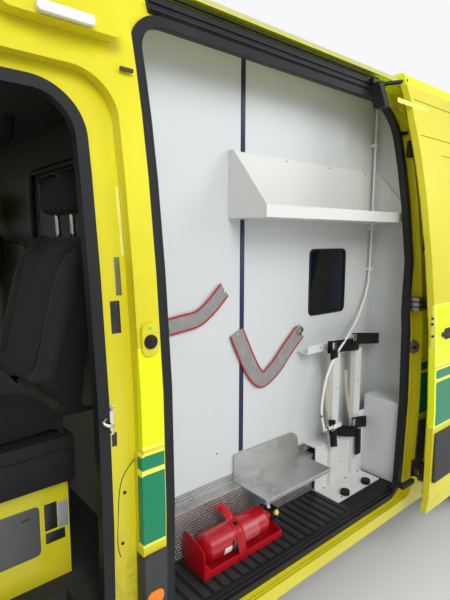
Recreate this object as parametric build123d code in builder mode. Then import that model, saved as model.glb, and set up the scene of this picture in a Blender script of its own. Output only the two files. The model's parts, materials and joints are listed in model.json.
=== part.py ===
from build123d import *
import math
import os

os.makedirs("parts", exist_ok=True)

# High-roof emergency ambulance on a long panel van, in millimetres.
# +X runs to the rear, -Y is the vehicle's left side, +Z is up, the ground is z = 0.
# The origin is on the ground, midway between the axles.

# Running gear
wheelbase = 3665
track = 1710
tyre_radius = 356
tyre_width = 235
rim_radius = 203
spindle_radius = 35
running_fit = 0.05
kingpin_y = 775
joint_gap = 0.4

# Body envelope
front_overhang = 1004
rear_overhang = 1257
half_width = 996.5
roof_height = 2675
gutter_z = 2392
sill_height = 330
bumper_bottom = 250
bumper_top = 650
bonnet_seam = 1004
cowl_x, cowl_z = -2200, 1290
screen_top_x, screen_top_z = -1600, 2085
turn_centre_x = 400
roof_seam = 2372
pillar_inner_y = 745

# Wall build-up, measured inwards from the outer skin
wall = 60
door_skin = 28
flange_depth = 40
door_depth = 58
wing_skin = 30
bonnet_skin = 25
glass_depth = 8
glass_thickness = 5
door_gap = 7
panel_gap = 6
wing_gap = 10
seat_gap = 0.3
seal_gap = 0.6

# Wheel arches
arch_radius = 445
arch_inner_y = 522
rear_arch_inner_y = 690
liner = 8

# Cab doorway, as x and z on the side
cab_door_front_x = -1890
cab_door_rear_x = -690
cab_door_bottom_z = 440
cab_door_top_z = 2085
cab_door_slope = (-1330, 1225)
cab_opening_rear_x = -785
cab_opening_top_z = 2030
door_rest_angle = 70

# Sliding doorway
slide_front_x = -606
slide_rear_x = 822
slide_bottom_z = 405
slide_top_z = 2405
slide_opening_front_x = -572
slide_opening_rear_x = 748
slide_opening_top_z = 2290
slide_step_x = 42
slide_travel = 1326
slide_out = 113
slide_lean = 1.5

# Load floor and step
floor_top = 650
floor_plate = 50
mat_top = 470
mat_thickness = 8
riser_y = 700
step_nose_y = 935
cab_step_z = 440
cab_step_x = (-1340, -830)
cab_step_y = 790

# Locker on the left side
wall_y = 650
board = 15
locker_rear_x = 900
locker_top = 2390
bulkhead_x = -600

nose_x = -wheelbase / 2 - front_overhang
tail_x = wheelbase / 2 + rear_overhang
front_axle_x = -wheelbase / 2
rear_axle_x = wheelbase / 2
deep = -400
beyond = 1200
forms = {}
shells = {}


def side_profile(inset):
    """Side view of the body: nose, bonnet, windscreen, domed high roof and tail."""
    with BuildSketch() as profile:
        with BuildLine():
            nose = FilletPolyline(
                (nose_x, deep), (nose_x, 640), (nose_x + 56, 1045), (cowl_x, cowl_z), radius=(60, 45)
            )
            screen = Line(nose @ 1, (screen_top_x, screen_top_z))
            dome = TangentArc(screen @ 1, (-700, roof_height - 60), tangent=screen % 1)
            crown = TangentArc(dome @ 1, (963, roof_height + 35), tangent=dome % 1)
            top = Line(crown @ 1, (tail_x - 220, roof_height + 35))
            tail = TangentArc(top @ 1, (tail_x - 35, roof_height - 147), tangent=top % 1)
            Polyline(tail @ 1, (tail_x, 900), (tail_x, deep), (nose_x, deep))
        make_face()
        if inset:
            offset(amount=-inset, kind=Kind.INTERSECTION)
    return profile.sketch


def cross_section(inset):
    """Rear view of the body: nearly upright sides, tumblehome, gutter edge and a crowned roof."""
    with BuildSketch() as section:
        with BuildLine():
            flank = Polyline(
                (0, deep), (940, deep), (958, sill_height), (985, 480), (half_width, 900), (990, 1250),
                (963, 1580), (932, 1835), (905, 2000), (880, 2120), (842, 2280), (808, gutter_z),
                (752, gutter_z + 36),
            )
            ThreePointArc(flank @ 1, (430, roof_height - 62), (0, roof_height))
            mirror(about=Plane.YZ)
        make_face()
        if inset:
            offset(amount=-inset, kind=Kind.INTERSECTION)
    return section.sketch


def plan_view(inset):
    """Top view of the body: rounded front and rear corners."""
    flank_y = half_width + 14
    with BuildSketch() as plan:
        with BuildLine():
            back = Line((tail_x + 10, 0), (tail_x + 10, 885))
            corner = TangentArc(back @ 1, (tail_x - 115, flank_y), tangent=(0, 1))
            flank = Line(corner @ 1, (nose_x + 486, flank_y))
            cheek = TangentArc(flank @ 1, (nose_x + 56, 800), tangent=(-1, 0))
            Polyline(cheek @ 1, (nose_x - 219, 444), (nose_x - 219, 0))
            mirror(about=Plane.XZ)
        make_face()
        if inset:
            offset(amount=-inset, kind=Kind.INTERSECTION)
    return plan.sketch


def form(inset):
    """Solid body form, set in by a depth below the outer skin."""
    if inset not in forms:
        with BuildPart() as body:
            with BuildSketch(Plane.XZ):
                add(side_profile(inset))
                with Locations((turn_centre_x, 1000)):
                    Rectangle(8000, 4000, align=(Align.MAX, Align.CENTER), mode=Mode.INTERSECT)
            revolve(axis=Axis((turn_centre_x, 0, 0), (0, 0, 1)))
            with Locations((turn_centre_x, 0, 0)):
                Box(8000, 8000, 8000, align=(Align.MIN, Align.CENTER, Align.CENTER), mode=Mode.SUBTRACT)
            with BuildSketch(Plane.XZ):
                add(side_profile(inset))
                with Locations((turn_centre_x, 1000)):
                    Rectangle(8000, 4000, align=(Align.MIN, Align.CENTER), mode=Mode.INTERSECT)
            extrude(amount=beyond, both=True)
            with BuildSketch(Plane.YZ):
                add(cross_section(inset))
            extrude(amount=4000, both=True, mode=Mode.INTERSECT)
            with BuildSketch():
                add(plan_view(inset))
            extrude(amount=4000, both=True, mode=Mode.INTERSECT)
        forms[inset] = body.part
    return forms[inset]


def shell(outer, inner):
    """Skin of the body between two depths."""
    if (outer, inner) not in shells:
        with BuildPart() as skin:
            add(form(outer))
            add(form(inner), mode=Mode.SUBTRACT)
        shells[(outer, inner)] = skin.part
    return shells[(outer, inner)]


def block(x, y, z):
    """Box from three pairs of limits."""
    with BuildPart() as box:
        with Locations(((x[0] + x[1]) / 2, (y[0] + y[1]) / 2, (z[0] + z[1]) / 2)):
            Box(x[1] - x[0], y[1] - y[0], z[1] - z[0])
    return box.part


def outline(points, radii, grow=0):
    """Closed outline with rounded corners, grown or shrunk by an amount."""
    with BuildSketch() as shape:
        with BuildLine():
            FilletPolyline(*points, radius=radii, close=True)
        make_face()
        if grow:
            offset(amount=grow)
    return shape.sketch


def prism(face, plane, reach):
    """Outline drawn on a plane and extruded away from it."""
    with BuildPart() as solid:
        with BuildSketch(plane):
            add(face)
        extrude(amount=reach)
    return solid.part


def left_prism(face):
    """Side outline cut through the left wall only."""
    return prism(face, Plane.XZ.offset(500), beyond)


def cut_panel(outer, inner, cutter):
    """Piece of the body's skin that lies inside a cutter."""
    with BuildPart() as panel:
        add(shell(outer, inner))
        add(cutter, mode=Mode.INTERSECT)
    return panel.part


def cab_door_outline(grow):
    """Outer edge of the cab door: raked pillar, round top corner, cut away over the wheel arch."""
    with BuildSketch() as shape:
        add(outline(
            [
                (cab_door_rear_x, cab_door_bottom_z), (cab_door_rear_x, cab_door_top_z),
                (cab_door_slope[0], cab_door_top_z), (cab_door_front_x, cab_door_slope[1]),
                (cab_door_front_x, cab_door_bottom_z),
            ],
            [50, 110, 60, 50, 20], grow,
        ))
        with Locations((front_axle_x, tyre_radius)):
            Circle(arch_radius + 38 - grow, mode=Mode.SUBTRACT)
    return shape.sketch


def cab_opening_outline(grow):
    """Inner edge of the cab doorway, inside its rebate."""
    with BuildSketch() as shape:
        add(outline(
            [
                (cab_opening_rear_x, cab_door_bottom_z + 30), (cab_opening_rear_x, cab_opening_top_z),
                (cab_door_slope[0] + 10, cab_opening_top_z), (cab_door_front_x + 40, cab_door_slope[1]),
                (cab_door_front_x + 40, cab_door_bottom_z + 30),
            ],
            [60, 110, 60, 50, 20], grow,
        ))
        with Locations((front_axle_x, tyre_radius)):
            Circle(arch_radius + 68 - grow, mode=Mode.SUBTRACT)
    return shape.sketch


def slide_door_outline(grow):
    """Outer edge of the sliding door."""
    return outline(
        [
            (slide_front_x, slide_bottom_z), (slide_front_x, slide_top_z),
            (slide_rear_x, slide_top_z), (slide_rear_x, slide_bottom_z),
        ],
        [20, 22, 90, 30], grow,
    )


def slide_opening_outline(grow):
    """Inner edge of the sliding doorway; its rear edge steps forward below the latch."""
    return outline(
        [
            (slide_opening_front_x, sill_height + 110), (slide_opening_front_x, slide_opening_top_z),
            (slide_opening_rear_x + slide_step_x, slide_opening_top_z),
            (slide_opening_rear_x + slide_step_x, 1560),
            (slide_opening_rear_x, 1330), (slide_opening_rear_x, sill_height + 110),
        ],
        [40, 100, 160, 200, 200, 60], grow,
    )


def rear_door_outline(grow):
    """Left rear door seen along X, as y and z."""
    return outline(
        [
            (-4, bumper_top + 12), (-4, 2385), (-742, 2385), (-804, 2150), (-856, 1200),
            (-856, bumper_top + 12),
        ],
        [15, 15, 110, 400, 400, 40], grow,
    )


def rear_prism(face):
    """Rear-view outline cut through the tail."""
    return prism(face, Plane.YZ.offset(tail_x - 190), 400)


def arch_cut(axle_x, inner_y, radius):
    """Wheel well on the left, from its inner face outwards."""
    with BuildPart() as well:
        with BuildSketch(Plane.XZ.offset(inner_y)):
            with Locations((axle_x, tyre_radius)):
                Circle(radius)
            with Locations((axle_x, 0)):
                Rectangle(2 * radius, tyre_radius, align=(Align.CENTER, Align.MIN))
        extrude(amount=beyond)
    return well.part


def both_sides(left):
    """A left-hand piece with its mirror image."""
    with BuildPart() as pair:
        add(left)
        mirror(left, about=Plane.XZ)
    return pair.part


def write(piece, name):
    """Label a finished piece and write it."""
    piece.label = name
    export_step(piece, f"parts/{name}.step")


def mirrored(piece):
    """The same piece on the other side of the vehicle."""
    return mirror(piece, about=Plane.XZ)


def joined(*pieces):
    """Several solids made one piece."""
    with BuildPart() as whole:
        for piece in pieces:
            add(piece)
    return whole.part


def less(piece, *cutters):
    """A piece with its cutters taken away."""
    with BuildPart() as rest:
        add(piece)
        for cutter in cutters:
            add(cutter, mode=Mode.SUBTRACT)
    return rest.part


def common(piece, *limits):
    """What a piece shares with each limit."""
    with BuildPart() as shared:
        add(piece)
        for limit in limits:
            add(limit, mode=Mode.INTERSECT)
    return shared.part


# Shared cutters
windscreen_points = [(-855, 1338), (-765, 2055), (765, 2055), (855, 1338)]


def windscreen_prism(grow):
    """Front-view outline of the windscreen, cut through the front of the body only."""
    return prism(outline(windscreen_points, 70, grow), Plane.YZ.offset(-2400), 1250)


def headlamp_prism(grow):
    """Front-view outline of the left headlamp."""
    face = outline(
        [(-575, 745), (-575, 985), (-820, 998), (-1100, 998), (-1100, 850), (-780, 745)],
        [25, 25, 20, 10, 10, 60], grow,
    )
    return prism(face, Plane.YZ.offset(nose_x - 150), 600)


def tail_lamp_prism(grow):
    """Rear-view outline of the left tail lamp."""
    face = outline([(-878, 905), (-878, 1330), (-972, 1320), (-976, 905)], 18, grow)
    return prism(face, Plane.YZ.offset(tail_x - 150), 300)


left_doorways = joined(
    left_prism(cab_opening_outline(0)),
    left_prism(slide_opening_outline(0)),
    cut_panel(0, flange_depth, left_prism(cab_door_outline(door_gap))),
    cut_panel(0, flange_depth, left_prism(slide_door_outline(door_gap))),
)
rear_doorway = joined(
    rear_prism(rear_door_outline(-30)),
    cut_panel(0, flange_depth, rear_prism(rear_door_outline(door_gap))),
)
rear_doorways = joined(
    rear_doorway, mirrored(rear_doorway), block((tail_x - 190, tail_x + 50), (-60, 60), (700, 2360))
)
front_well = arch_cut(front_axle_x, arch_inner_y, arch_radius)
rear_well = arch_cut(rear_axle_x, rear_arch_inner_y, arch_radius)
engine_bay_x = (nose_x - 150, cab_door_front_x - wing_gap)

# Shallow pressings: two creases above the windows and the panels on the doors and rear sides
press_depth = 5
press_z = (1450, 2050)
creases = joined(*[
    block((-580, 3000), (-beyond, beyond), (z - 3, z + 3)) for z in (2120, 2280)
])


def press_outline(span):
    """Panel pressing between two places along the side."""
    low, high = press_z
    return outline([(span[0], low), (span[0], high), (span[1], high), (span[1], low)], 70)


# Body sides, with the doorways rebated for their doors
side_region = joined(
    block((-1990, tail_x - 190), (-beyond, -pillar_inner_y), (sill_height, roof_seam)),
    block((tail_x - 190, tail_x + 50), (-beyond, -800), (sill_height, roof_seam)),
    block((tail_x - 190, tail_x + 50), (-beyond, -690), (2000, roof_seam)),
    block((-1990, -1400), (-beyond, -700), (1290, 2000)),
)
side_left = less(
    cut_panel(0, wall, side_region),
    left_doorways, rear_doorways, windscreen_prism(0), front_well, rear_well,
    cut_panel(0, wing_skin + seat_gap, tail_lamp_prism(2)),
    cut_panel(0, press_depth, left_prism(press_outline((920, 2880)))), cut_panel(0, press_depth, creases),
    cut_panel(
        0, wing_skin + seat_gap, block((-2100, engine_bay_x[1]), (-beyond, -500), (sill_height, 1290))
    ),
)

# Lugs that carry the hinge rods of the cab doors
cab_hinge = (cab_door_front_x - 3, -998)
lug_z = [(803, 820), (1241, 1256)]
rod_radius = 3.5
rod_z = (lug_z[0][1] + joint_gap, lug_z[1][0] - joint_gap)
lugs = [
    block((cab_hinge[0] - 5.5, cab_hinge[0] + 5.5), (cab_hinge[1] - 5, -960), height) for height in lug_z
]
side_left = joined(side_left, *lugs)
write(mirrored(side_left), "side_right")

# Shore-power inlet on the left door pillar: a flat boss with a blind socket
inlet_x, inlet_z = -646, 1400
inlet_face_y = 986
with BuildPart() as inlet:
    with BuildSketch(Plane.XZ.offset(inlet_face_y - 60)):
        with Locations((inlet_x, inlet_z)):
            Circle(26)
    extrude(amount=60)
    with BuildSketch(Plane.XZ.offset(inlet_face_y - 25)):
        with Locations((inlet_x, inlet_z)):
            Circle(15)
    extrude(amount=25, mode=Mode.SUBTRACT)
with BuildPart() as inlet_bore:
    with BuildSketch(Plane.XZ.offset(inlet_face_y - 60)):
        with Locations((inlet_x, inlet_z)):
            Circle(26)
    extrude(amount=100)
write(joined(less(side_left, inlet_bore.part), inlet.part), "side_left")

# Roof: domed cap with the header over the windscreen and the rear header
roof = less(
    cut_panel(0, wall, joined(
        block((-2000, tail_x + 50), (-beyond, beyond), (roof_seam, 2900)),
        block((-2000, 0), (-pillar_inner_y, pillar_inner_y), (2000, roof_seam)),
    )),
    rear_doorways, windscreen_prism(0), left_doorways, mirrored(left_doorways),
)
write(roof, "roof")

# Windscreen and the cowl below it, with the firewall and the front wheel housings
windscreen = cut_panel(glass_depth, glass_depth + 6, windscreen_prism(-seat_gap))
write(windscreen, "windscreen")
cowl_skin = less(
    cut_panel(0, wall, joined(
        block((cowl_x - 3, -1990), (-beyond, beyond), (1290, 2000)),
        block((cowl_x - 3, -1990), (-800, 800), (1100, 1290)),
    )),
    windscreen_prism(0),
)
firewall = common(
    joined(
        block((-2010, -1990), (-940, 940), (floor_top - floor_plate, 1305)),
        block((cowl_x, -1990), (-940, 940), (1293, 1305)),
    ),
    form(wall - 4),
)
front_housing = common(
    less(
        arch_cut(front_axle_x, arch_inner_y, arch_radius + liner),
        arch_cut(front_axle_x, arch_inner_y - 5, arch_radius),
    ),
    block((-2400, -1300), (-beyond, 0), (420, 900)), form(wall),
)
housing_wall = common(
    less(
        arch_cut(front_axle_x, arch_inner_y - liner, arch_radius + liner),
        arch_cut(front_axle_x, arch_inner_y, 2 * arch_radius),
    ),
    block((-2400, -1300), (-beyond, 0), (620, 900)),
)
cowl = joined(
    cowl_skin, less(firewall, front_well, mirrored(front_well)), front_housing, mirrored(front_housing),
    housing_wall, mirrored(housing_wall),
)
write(cowl, "cowl")

# Front end: wings, bonnet, bumper, grille and headlamps
wing = less(
    cut_panel(0, wing_skin, block(engine_bay_x, (-beyond, -800 - panel_gap), (bumper_top + 5, 1290))),
    headlamp_prism(seat_gap), cut_panel(0, 12, headlamp_prism(4)), front_well,
)
write(both_sides(wing), "wings")
bonnet = cut_panel(0, bonnet_skin, block((nose_x - 150, cowl_x - 9), (-800, 800), (bonnet_seam, 1400)))
write(bonnet, "bonnet")
bumper_thickness = 70
nose_plane = Plane.YZ.offset(nose_x - 150)
bumper = less(
    cut_panel(
        0, bumper_thickness,
        block(
            (nose_x - 150, front_axle_x - arch_radius - 5), (-beyond, beyond), (bumper_bottom, bumper_top)
        ),
    ),
    front_well, mirrored(front_well),
    prism(outline([(-430, 340), (-400, 450), (400, 450), (430, 340)], 20), nose_plane, 400),
    prism(outline([(-760, 380), (-760, 470), (-560, 470), (-560, 380)], 30), nose_plane, 180),
    prism(outline([(760, 380), (760, 470), (560, 470), (560, 380)], 30), nose_plane, 180),
)
write(bumper, "bumper_front")
grille_depth = 46
grille_slots = 4
grille_pitch = 72
grille_bottom = bumper_top + seat_gap
grille_face = outline([(-545, grille_bottom), (-545, 990), (545, 990), (545, grille_bottom)], 8)
slots = [
    prism(
        outline(
            [(-510, z), (-510, z + 44), (510, z + 44), (510, z)], 12
        ),
        Plane.YZ.offset(nose_x - 150), 600,
    )
    for z in [686 + row * grille_pitch for row in range(grille_slots)]
]
grille = less(cut_panel(6, grille_depth, prism(grille_face, Plane.YZ.offset(nose_x - 150), 600)), *slots)
write(grille, "grille")
headlamp = cut_panel(4, 110, headlamp_prism(0))
write(both_sides(headlamp), "headlamps")

# Rear end
bumper_rear = less(
    common(form(0), block((tail_x - 130, tail_x + 50), (-794, 794), (430, bumper_top))),
    block((tail_x - 140, tail_x - 30), (-beyond, beyond), (400, bumper_top - 30)),
)
write(bumper_rear, "bumper_rear")
write(both_sides(cut_panel(0, 30, tail_lamp_prism(0))), "tail_lamps")

# Panel behind the grille, with the shelf and the two buffers under the bonnet
panel_plate = 16
front_panel = joined(
    cut_panel(
        grille_depth + seat_gap, grille_depth + panel_plate,
        prism(
            outline([(-560, bumper_top + 1), (-560, 980), (560, 980), (560, bumper_top + 1)], 20),
            nose_plane, 600,
        ),
    ),
    common(
        joined(
            block((nose_x, -2640), (-510, -440), (bumper_top + 1, 700)),
            block((nose_x, -2640), (440, 510), (bumper_top + 1, 700)),
            block((nose_x, -2640), (-560, 560), (930, 945)),
        ),
        form(grille_depth + seat_gap),
    ),
    common(
        joined(
            block((nose_x, -2640), (-510, -440), (590, 700)),
            block((nose_x, -2640), (440, 510), (590, 700)),
        ),
        form(bumper_thickness + seat_gap),
    ),
    common(
        joined(
            block((-2680, -2650), (-420, -380), (940, 1200)),
            block((-2680, -2650), (380, 420), (940, 1200)),
        ),
        form(bonnet_skin + seat_gap),
    ),
)

# Floor with its rails, step wells and rear wheel housings
rail_y = (440, 510)
spring_eye_z = 399
rail_z = (480, floor_top - floor_plate)
floor_space = form(wall)
rear_housing = common(
    less(
        arch_cut(rear_axle_x, rear_arch_inner_y, arch_radius + liner),
        arch_cut(rear_axle_x, rear_arch_inner_y + liner, arch_radius),
    ),
    block((rear_axle_x - 500, rear_axle_x + 500), (-beyond, 0), (430, 900)), floor_space,
)
step_plate_z = mat_top - mat_thickness
step_well_x = (bulkhead_x + board, locker_rear_x + board)
slide_step = common(
    joined(
        block(step_well_x, (-940, -riser_y + 12), (step_plate_z - 30, step_plate_z)),
        block(step_well_x, (-riser_y, -riser_y + 12), (step_plate_z - 30, floor_top)),
        block((step_well_x[0], step_well_x[0] + 12), (-940, -riser_y + 12), (step_plate_z - 30, floor_top)),
        block((step_well_x[1] - 12, step_well_x[1]), (-940, -riser_y + 12), (step_plate_z - 30, floor_top)),
    ),
    floor_space,
)
slide_notch = block(step_well_x, (-beyond, -riser_y), (500, 700))
cab_step = common(
    joined(
        block(cab_step_x, (-960, -cab_step_y + 12), (cab_step_z - 20, cab_step_z)),
        block(cab_step_x, (-cab_step_y, -cab_step_y + 12), (cab_step_z - 20, floor_top)),
    ),
    floor_space,
)
cab_notch = block(cab_step_x, (-beyond, -cab_step_y), (500, 700))
rail = joined(
    block((-2700, 2950), (-rail_y[1], -rail_y[0]), rail_z),
    common(block((nose_x, -2690), (-rail_y[1], -rail_y[0]), rail_z), form(bumper_thickness + seat_gap)),
    block((rear_axle_x - 690, rear_axle_x - 610), (-500, -450), (spring_eye_z + seat_gap, 480)),
    block((rear_axle_x + 610, rear_axle_x + 690), (-500, -450), (spring_eye_z + seat_gap, 480)),
)
floor_plate_solid = common(
    block((-1990, tail_x - 130 - seat_gap), (-beyond, beyond), (floor_top - floor_plate, floor_top)),
    floor_space,
)
floor_left_cuts = joined(
    slide_notch, cab_notch,
    arch_cut(rear_axle_x, rear_arch_inner_y, arch_radius + 1),
    arch_cut(front_axle_x, arch_inner_y - liner, arch_radius + liner),
)

# Front cross member with a lower and an upper wishbone on each side
arm_outline = [
    (-430, front_axle_x - 110), (-430, front_axle_x + 110), (-(kingpin_y + 24), front_axle_x + 26),
    (-(kingpin_y + 24), front_axle_x - 26),
]
wishbones = [
    prism(outline(arm_outline, 12), Plane(origin=(0, 0, base_z), x_dir=(0, 1, 0), z_dir=(0, 0, -1)), 18)
    for base_z in (tyre_radius - 128 - joint_gap, tyre_radius + 128 + joint_gap + 18)
]
cross_half = joined(
    block((front_axle_x - 120, front_axle_x + 120), (-452, 0), (208, 300)),
    block((front_axle_x - 120, front_axle_x + 120), (-452, -400), (208, floor_top - floor_plate)),
    *wishbones,
)
floor_pan = joined(
    cross_half, mirrored(cross_half),
    less(floor_plate_solid, floor_left_cuts, mirrored(floor_left_cuts)),
    slide_step, mirrored(slide_step), cab_step, mirrored(cab_step),
    rail, mirrored(rail), front_panel,
    rear_housing, mirrored(rear_housing),
)
write(floor_pan, "floor_pan")

# Bulkhead between the cab and the load space
bulkhead_window_points = [(-490, 1655), (-490, 1935), (20, 1935), (20, 1655)]
bulkhead = less(
    common(block((bulkhead_x, bulkhead_x + board), (-beyond, beyond), (floor_top, 2700)), form(wall)),
    prism(outline(bulkhead_window_points, 40), Plane.YZ.offset(bulkhead_x - 50), 100),
)
write(bulkhead, "bulkhead")

# Dashboard with the steering column
column_tilt = 50
steering_centre = (-1460, -480, 1330)
dash_profile = outline(
    [
        (-1990 + seat_gap, 820), (-1990 + seat_gap, 1285), (-1780, 1330), (-1600, 1300), (-1545, 1190), (-1600, 1000),
        (-1750, 820),
    ],
    [10, 20, 80, 50, 60, 60, 60],
)
wheel_plane = Plane(
    origin=steering_centre,
    x_dir=(0, 1, 0),
    z_dir=(math.cos(math.radians(column_tilt)), 0, math.sin(math.radians(column_tilt))),
)
with BuildPart() as column:
    with BuildSketch(wheel_plane.offset(-25 - seat_gap)):
        Circle(30)
    extrude(amount=-200)
dashboard = less(
    joined(common(prism(dash_profile, Plane.XZ.offset(-860), 1720), form(wall + 6)), column.part),
    arch_cut(front_axle_x, arch_inner_y, arch_radius + liner + 2),
    mirrored(arch_cut(front_axle_x, arch_inner_y, arch_radius + liner + 2)),
)
write(dashboard, "dashboard")

steering_ring = 185
steering_tube = 14
with BuildPart() as steering_wheel:
    with BuildSketch(wheel_plane * Plane.XZ) as ring_section:
        with Locations((steering_ring, 0)):
            Circle(steering_tube)
    revolve(axis=Axis(wheel_plane.origin, wheel_plane.z_dir))
    with BuildSketch(wheel_plane.offset(-25)):
        Circle(62)
    extrude(amount=40)
    for spoke_angle in (0, 180, 250, 290):
        with BuildSketch(wheel_plane.offset(-8)):
            with PolarLocations(steering_ring / 2 + 20, 1, spoke_angle):
                Rectangle(steering_ring - 50, 30)
        extrude(amount=12)
write(steering_wheel.part, "steering_wheel")

# Seats on their boxes
seat_y = {"driver": -520, "passenger": 470}
seat_width = 480
box_top = 950
base_boxes = [
    block((-1230, -790), (y - 210, y + 210), (floor_top, box_top)) for y in seat_y.values()
]
write(joined(*base_boxes), "seat_bases")
cushion_side = outline(
    [(-1260, 1099), (-1275, 1215), (-1200, 1255), (-860, 1235), (-780, 1160), (-780, 1099)],
    [25, 40, 60, 40, 30, 20],
)
skirt_side = outline([(-1240, box_top), (-1240, 1099), (-770, 1099), (-770, box_top)], 15)
back_side = outline(
    [
        (-890, 1242), (-845, 1242), (-745, 1640), (-690, 1700), (-640, 1690), (-650, 1560), (-735, 1120),
        (-778, 1120),
    ],
    [15, 20, 90, 30, 20, 60, 20, 20],
)
head_side = outline([(-735, 1755), (-728, 1880), (-650, 1895), (-632, 1755)], [25, 40, 40, 25])
for name, y in seat_y.items():
    centre_plane = Plane.XZ.offset(-y - seat_width / 2)
    with BuildPart() as seat:
        with BuildSketch(centre_plane):
            add(skirt_side)
        extrude(amount=seat_width)
        with BuildSketch(centre_plane):
            add(cushion_side)
        extrude(amount=seat_width)
        with BuildSketch(centre_plane):
            add(back_side)
        extrude(amount=seat_width)
        with BuildSketch(Plane.XZ.offset(-y - 130)):
            add(head_side)
        extrude(amount=260)
        with Locations((-678, y - 60, 1725), (-678, y + 60, 1725)):
            Cylinder(6, 80)
    write(seat.part, f"seat_{name}")

# Cab doors, built shut and swung open on the left
window_outline = [(-830, 1270), (-830, 1975), (-1262, 1975), (-1722, 1270)]
cab_door_shut = less(
    joined(
        cut_panel(0, door_skin, left_prism(cab_door_outline(0))),
        cut_panel(door_skin, door_depth, left_prism(cab_opening_outline(-20))),
        prism(Sketch() + Circle(rod_radius), Plane(origin=(*cab_hinge, rod_z[0])), rod_z[1] - rod_z[0]),
    ),
    left_prism(outline(window_outline, 45)),
)
cab_glass_shut = cut_panel(
    glass_depth, glass_depth + glass_thickness, left_prism(outline(window_outline, 45, -seat_gap))
)
mirror_face = outline(
    [(-1050, 1290), (-1062, 1640), (-1235, 1650), (-1250, 1480), (-1225, 1290)], [30, 50, 50, 40, 40]
)
with BuildPart() as mirror_shut:
    with BuildSketch(Plane.YZ.offset(-1822)):
        add(mirror_face)
    extrude(amount=92)
    fillet(mirror_shut.faces().sort_by(Axis.X)[0].edges(), 28)
    with Locations((-1776, -1020, 1340), (-1776, -1020, 1590)):
        Box(36, 90, 26)
mirror_left_shut = less(mirror_shut.part, form(0))
for side, sign, angle in (("left", 1, -door_rest_angle), ("right", -1, 0)):
    for name, piece in (
        ("cab_door", cab_door_shut), ("cab_glass", cab_glass_shut), ("mirror", mirror_left_shut)
    ):
        hand = piece if sign == 1 else mirrored(piece)
        swung = hand.rotate(Axis((cab_hinge[0], sign * cab_hinge[1], 0), (0, 0, 1)), angle)
        write(swung, f"{name}_{side}")

# Sliding doors: the left one stands open, slid back along the side, its rollers at the rails
mid_rail_z = (1334, 1392)
mid_rail_x = (slide_rear_x + 40, slide_rear_x + slide_travel + 20)
mid_rail_y = 998
slide_door_shut = less(
    joined(
        cut_panel(0, door_skin, left_prism(slide_door_outline(0))),
        cut_panel(door_skin, door_depth, left_prism(slide_opening_outline(-18))),
    ),
    cut_panel(0, press_depth, left_prism(press_outline((-460, 690)))), cut_panel(0, press_depth, creases),
)


def slid_open(piece):
    """The left door's place when open: back along the side, outwards, its top leaning in."""
    return piece.moved(Location((slide_travel, -slide_out, 0))).rotate(
        Axis((0, -half_width, 1300), (1, 0, 0)), -slide_lean
    )


slide_door_open = slid_open(slide_door_shut)
arms = less(
    joined(
        block((1950, 2010), (-1070, -mid_rail_y - seat_gap), (mid_rail_z[0] + 6, mid_rail_z[1] - 6)),
        block((760, 1010), (-1085, -1030), (532, 566)),
        block((620, 770), (-1050, -1030), (540, 558)),
        block((620, 650), (-1035, -1000), (540, 558)),
        block((600, 860), (-940, -880), (2236, 2258)),
        less(block((600, 640), (-900, -800), (2236, 2344)), form(door_skin)),
    ),
    slid_open(shell(0, door_depth)),
)
write(joined(slide_door_open, arms), "sliding_door_left")
write(mirrored(slide_door_shut), "sliding_door_right")

# Rear doors
rear_hinge = (tail_x + 10, -860)
rear_window = outline([(-190, 1370), (-190, 2030), (-690, 2030), (-705, 1370)], 50)
rear_door = less(
    joined(
        cut_panel(0, door_skin, rear_prism(rear_door_outline(0))),
        cut_panel(door_skin, door_depth, rear_prism(rear_door_outline(-50))),
    ),
    rear_prism(rear_window),
)
rear_glass = cut_panel(
    glass_depth, glass_depth + glass_thickness,
    rear_prism(outline([(-190, 1370), (-190, 2030), (-690, 2030), (-705, 1370)], 50, -seat_gap)),
)
write(rear_door, "rear_door_left")
write(mirrored(rear_door), "rear_door_right")
write(rear_glass, "rear_glass_left")
write(mirrored(rear_glass), "rear_glass_right")

# Rubber seals around the doorways
seal_depth = (door_skin + seal_gap, flange_depth - seat_gap)
seal_width = 25
seal_lip = 7
seal_rings = [
    less(left_prism(cab_opening_outline(seal_width)), left_prism(cab_opening_outline(-seal_lip))),
    less(left_prism(slide_opening_outline(seal_width)), left_prism(slide_opening_outline(-seal_lip))),
]
lip_rings = [
    less(left_prism(cab_opening_outline(-seat_gap)), left_prism(cab_opening_outline(-seal_lip))),
    less(left_prism(slide_opening_outline(-seat_gap)), left_prism(slide_opening_outline(-seal_lip))),
]
rear_seal_ring = less(
    rear_prism(rear_door_outline(-14)), rear_prism(rear_door_outline(-28)),
    block((tail_x - 190, tail_x + 50), (-62, 62), (600, 2700)),
)
seal_left = joined(
    *[cut_panel(*seal_depth, ring) for ring in seal_rings],
    *[cut_panel(door_skin, door_depth, ring) for ring in lip_rings],
    cut_panel(*seal_depth, rear_seal_ring),
)
write(both_sides(seal_left), "door_seals")

# Door rails: a black track over each sliding doorway and one along the rear side panel
rail_strip = cut_panel(
    *seal_depth,
    prism(
        outline(
            [
                (-520, slide_opening_top_z + 28), (-520, slide_top_z - 6), (700, slide_top_z - 6),
                (700, slide_opening_top_z + 28),
            ],
            5,
        ),
        Plane.XZ.offset(500), beyond,
    ),
)
mid_rail = less(block(mid_rail_x, (-mid_rail_y, -900), mid_rail_z), form(0))
write(both_sides(joined(rail_strip, mid_rail)), "door_rails")

# Dark side mouldings on the body
moulding_depth = 8
moulding_spans = [
    (cab_door_rear_x + door_gap + 2, slide_front_x - door_gap - 2),
    (slide_rear_x + door_gap + 3, rear_axle_x - arch_radius - 30),
    (rear_axle_x + arch_radius + 30, tail_x - 130),
]
mouldings = joined(*[
    cut_panel(-moulding_depth, 0, block(span, (-beyond, -500), (560, 795))) for span in moulding_spans
])
write(both_sides(mouldings), "side_mouldings")

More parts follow.
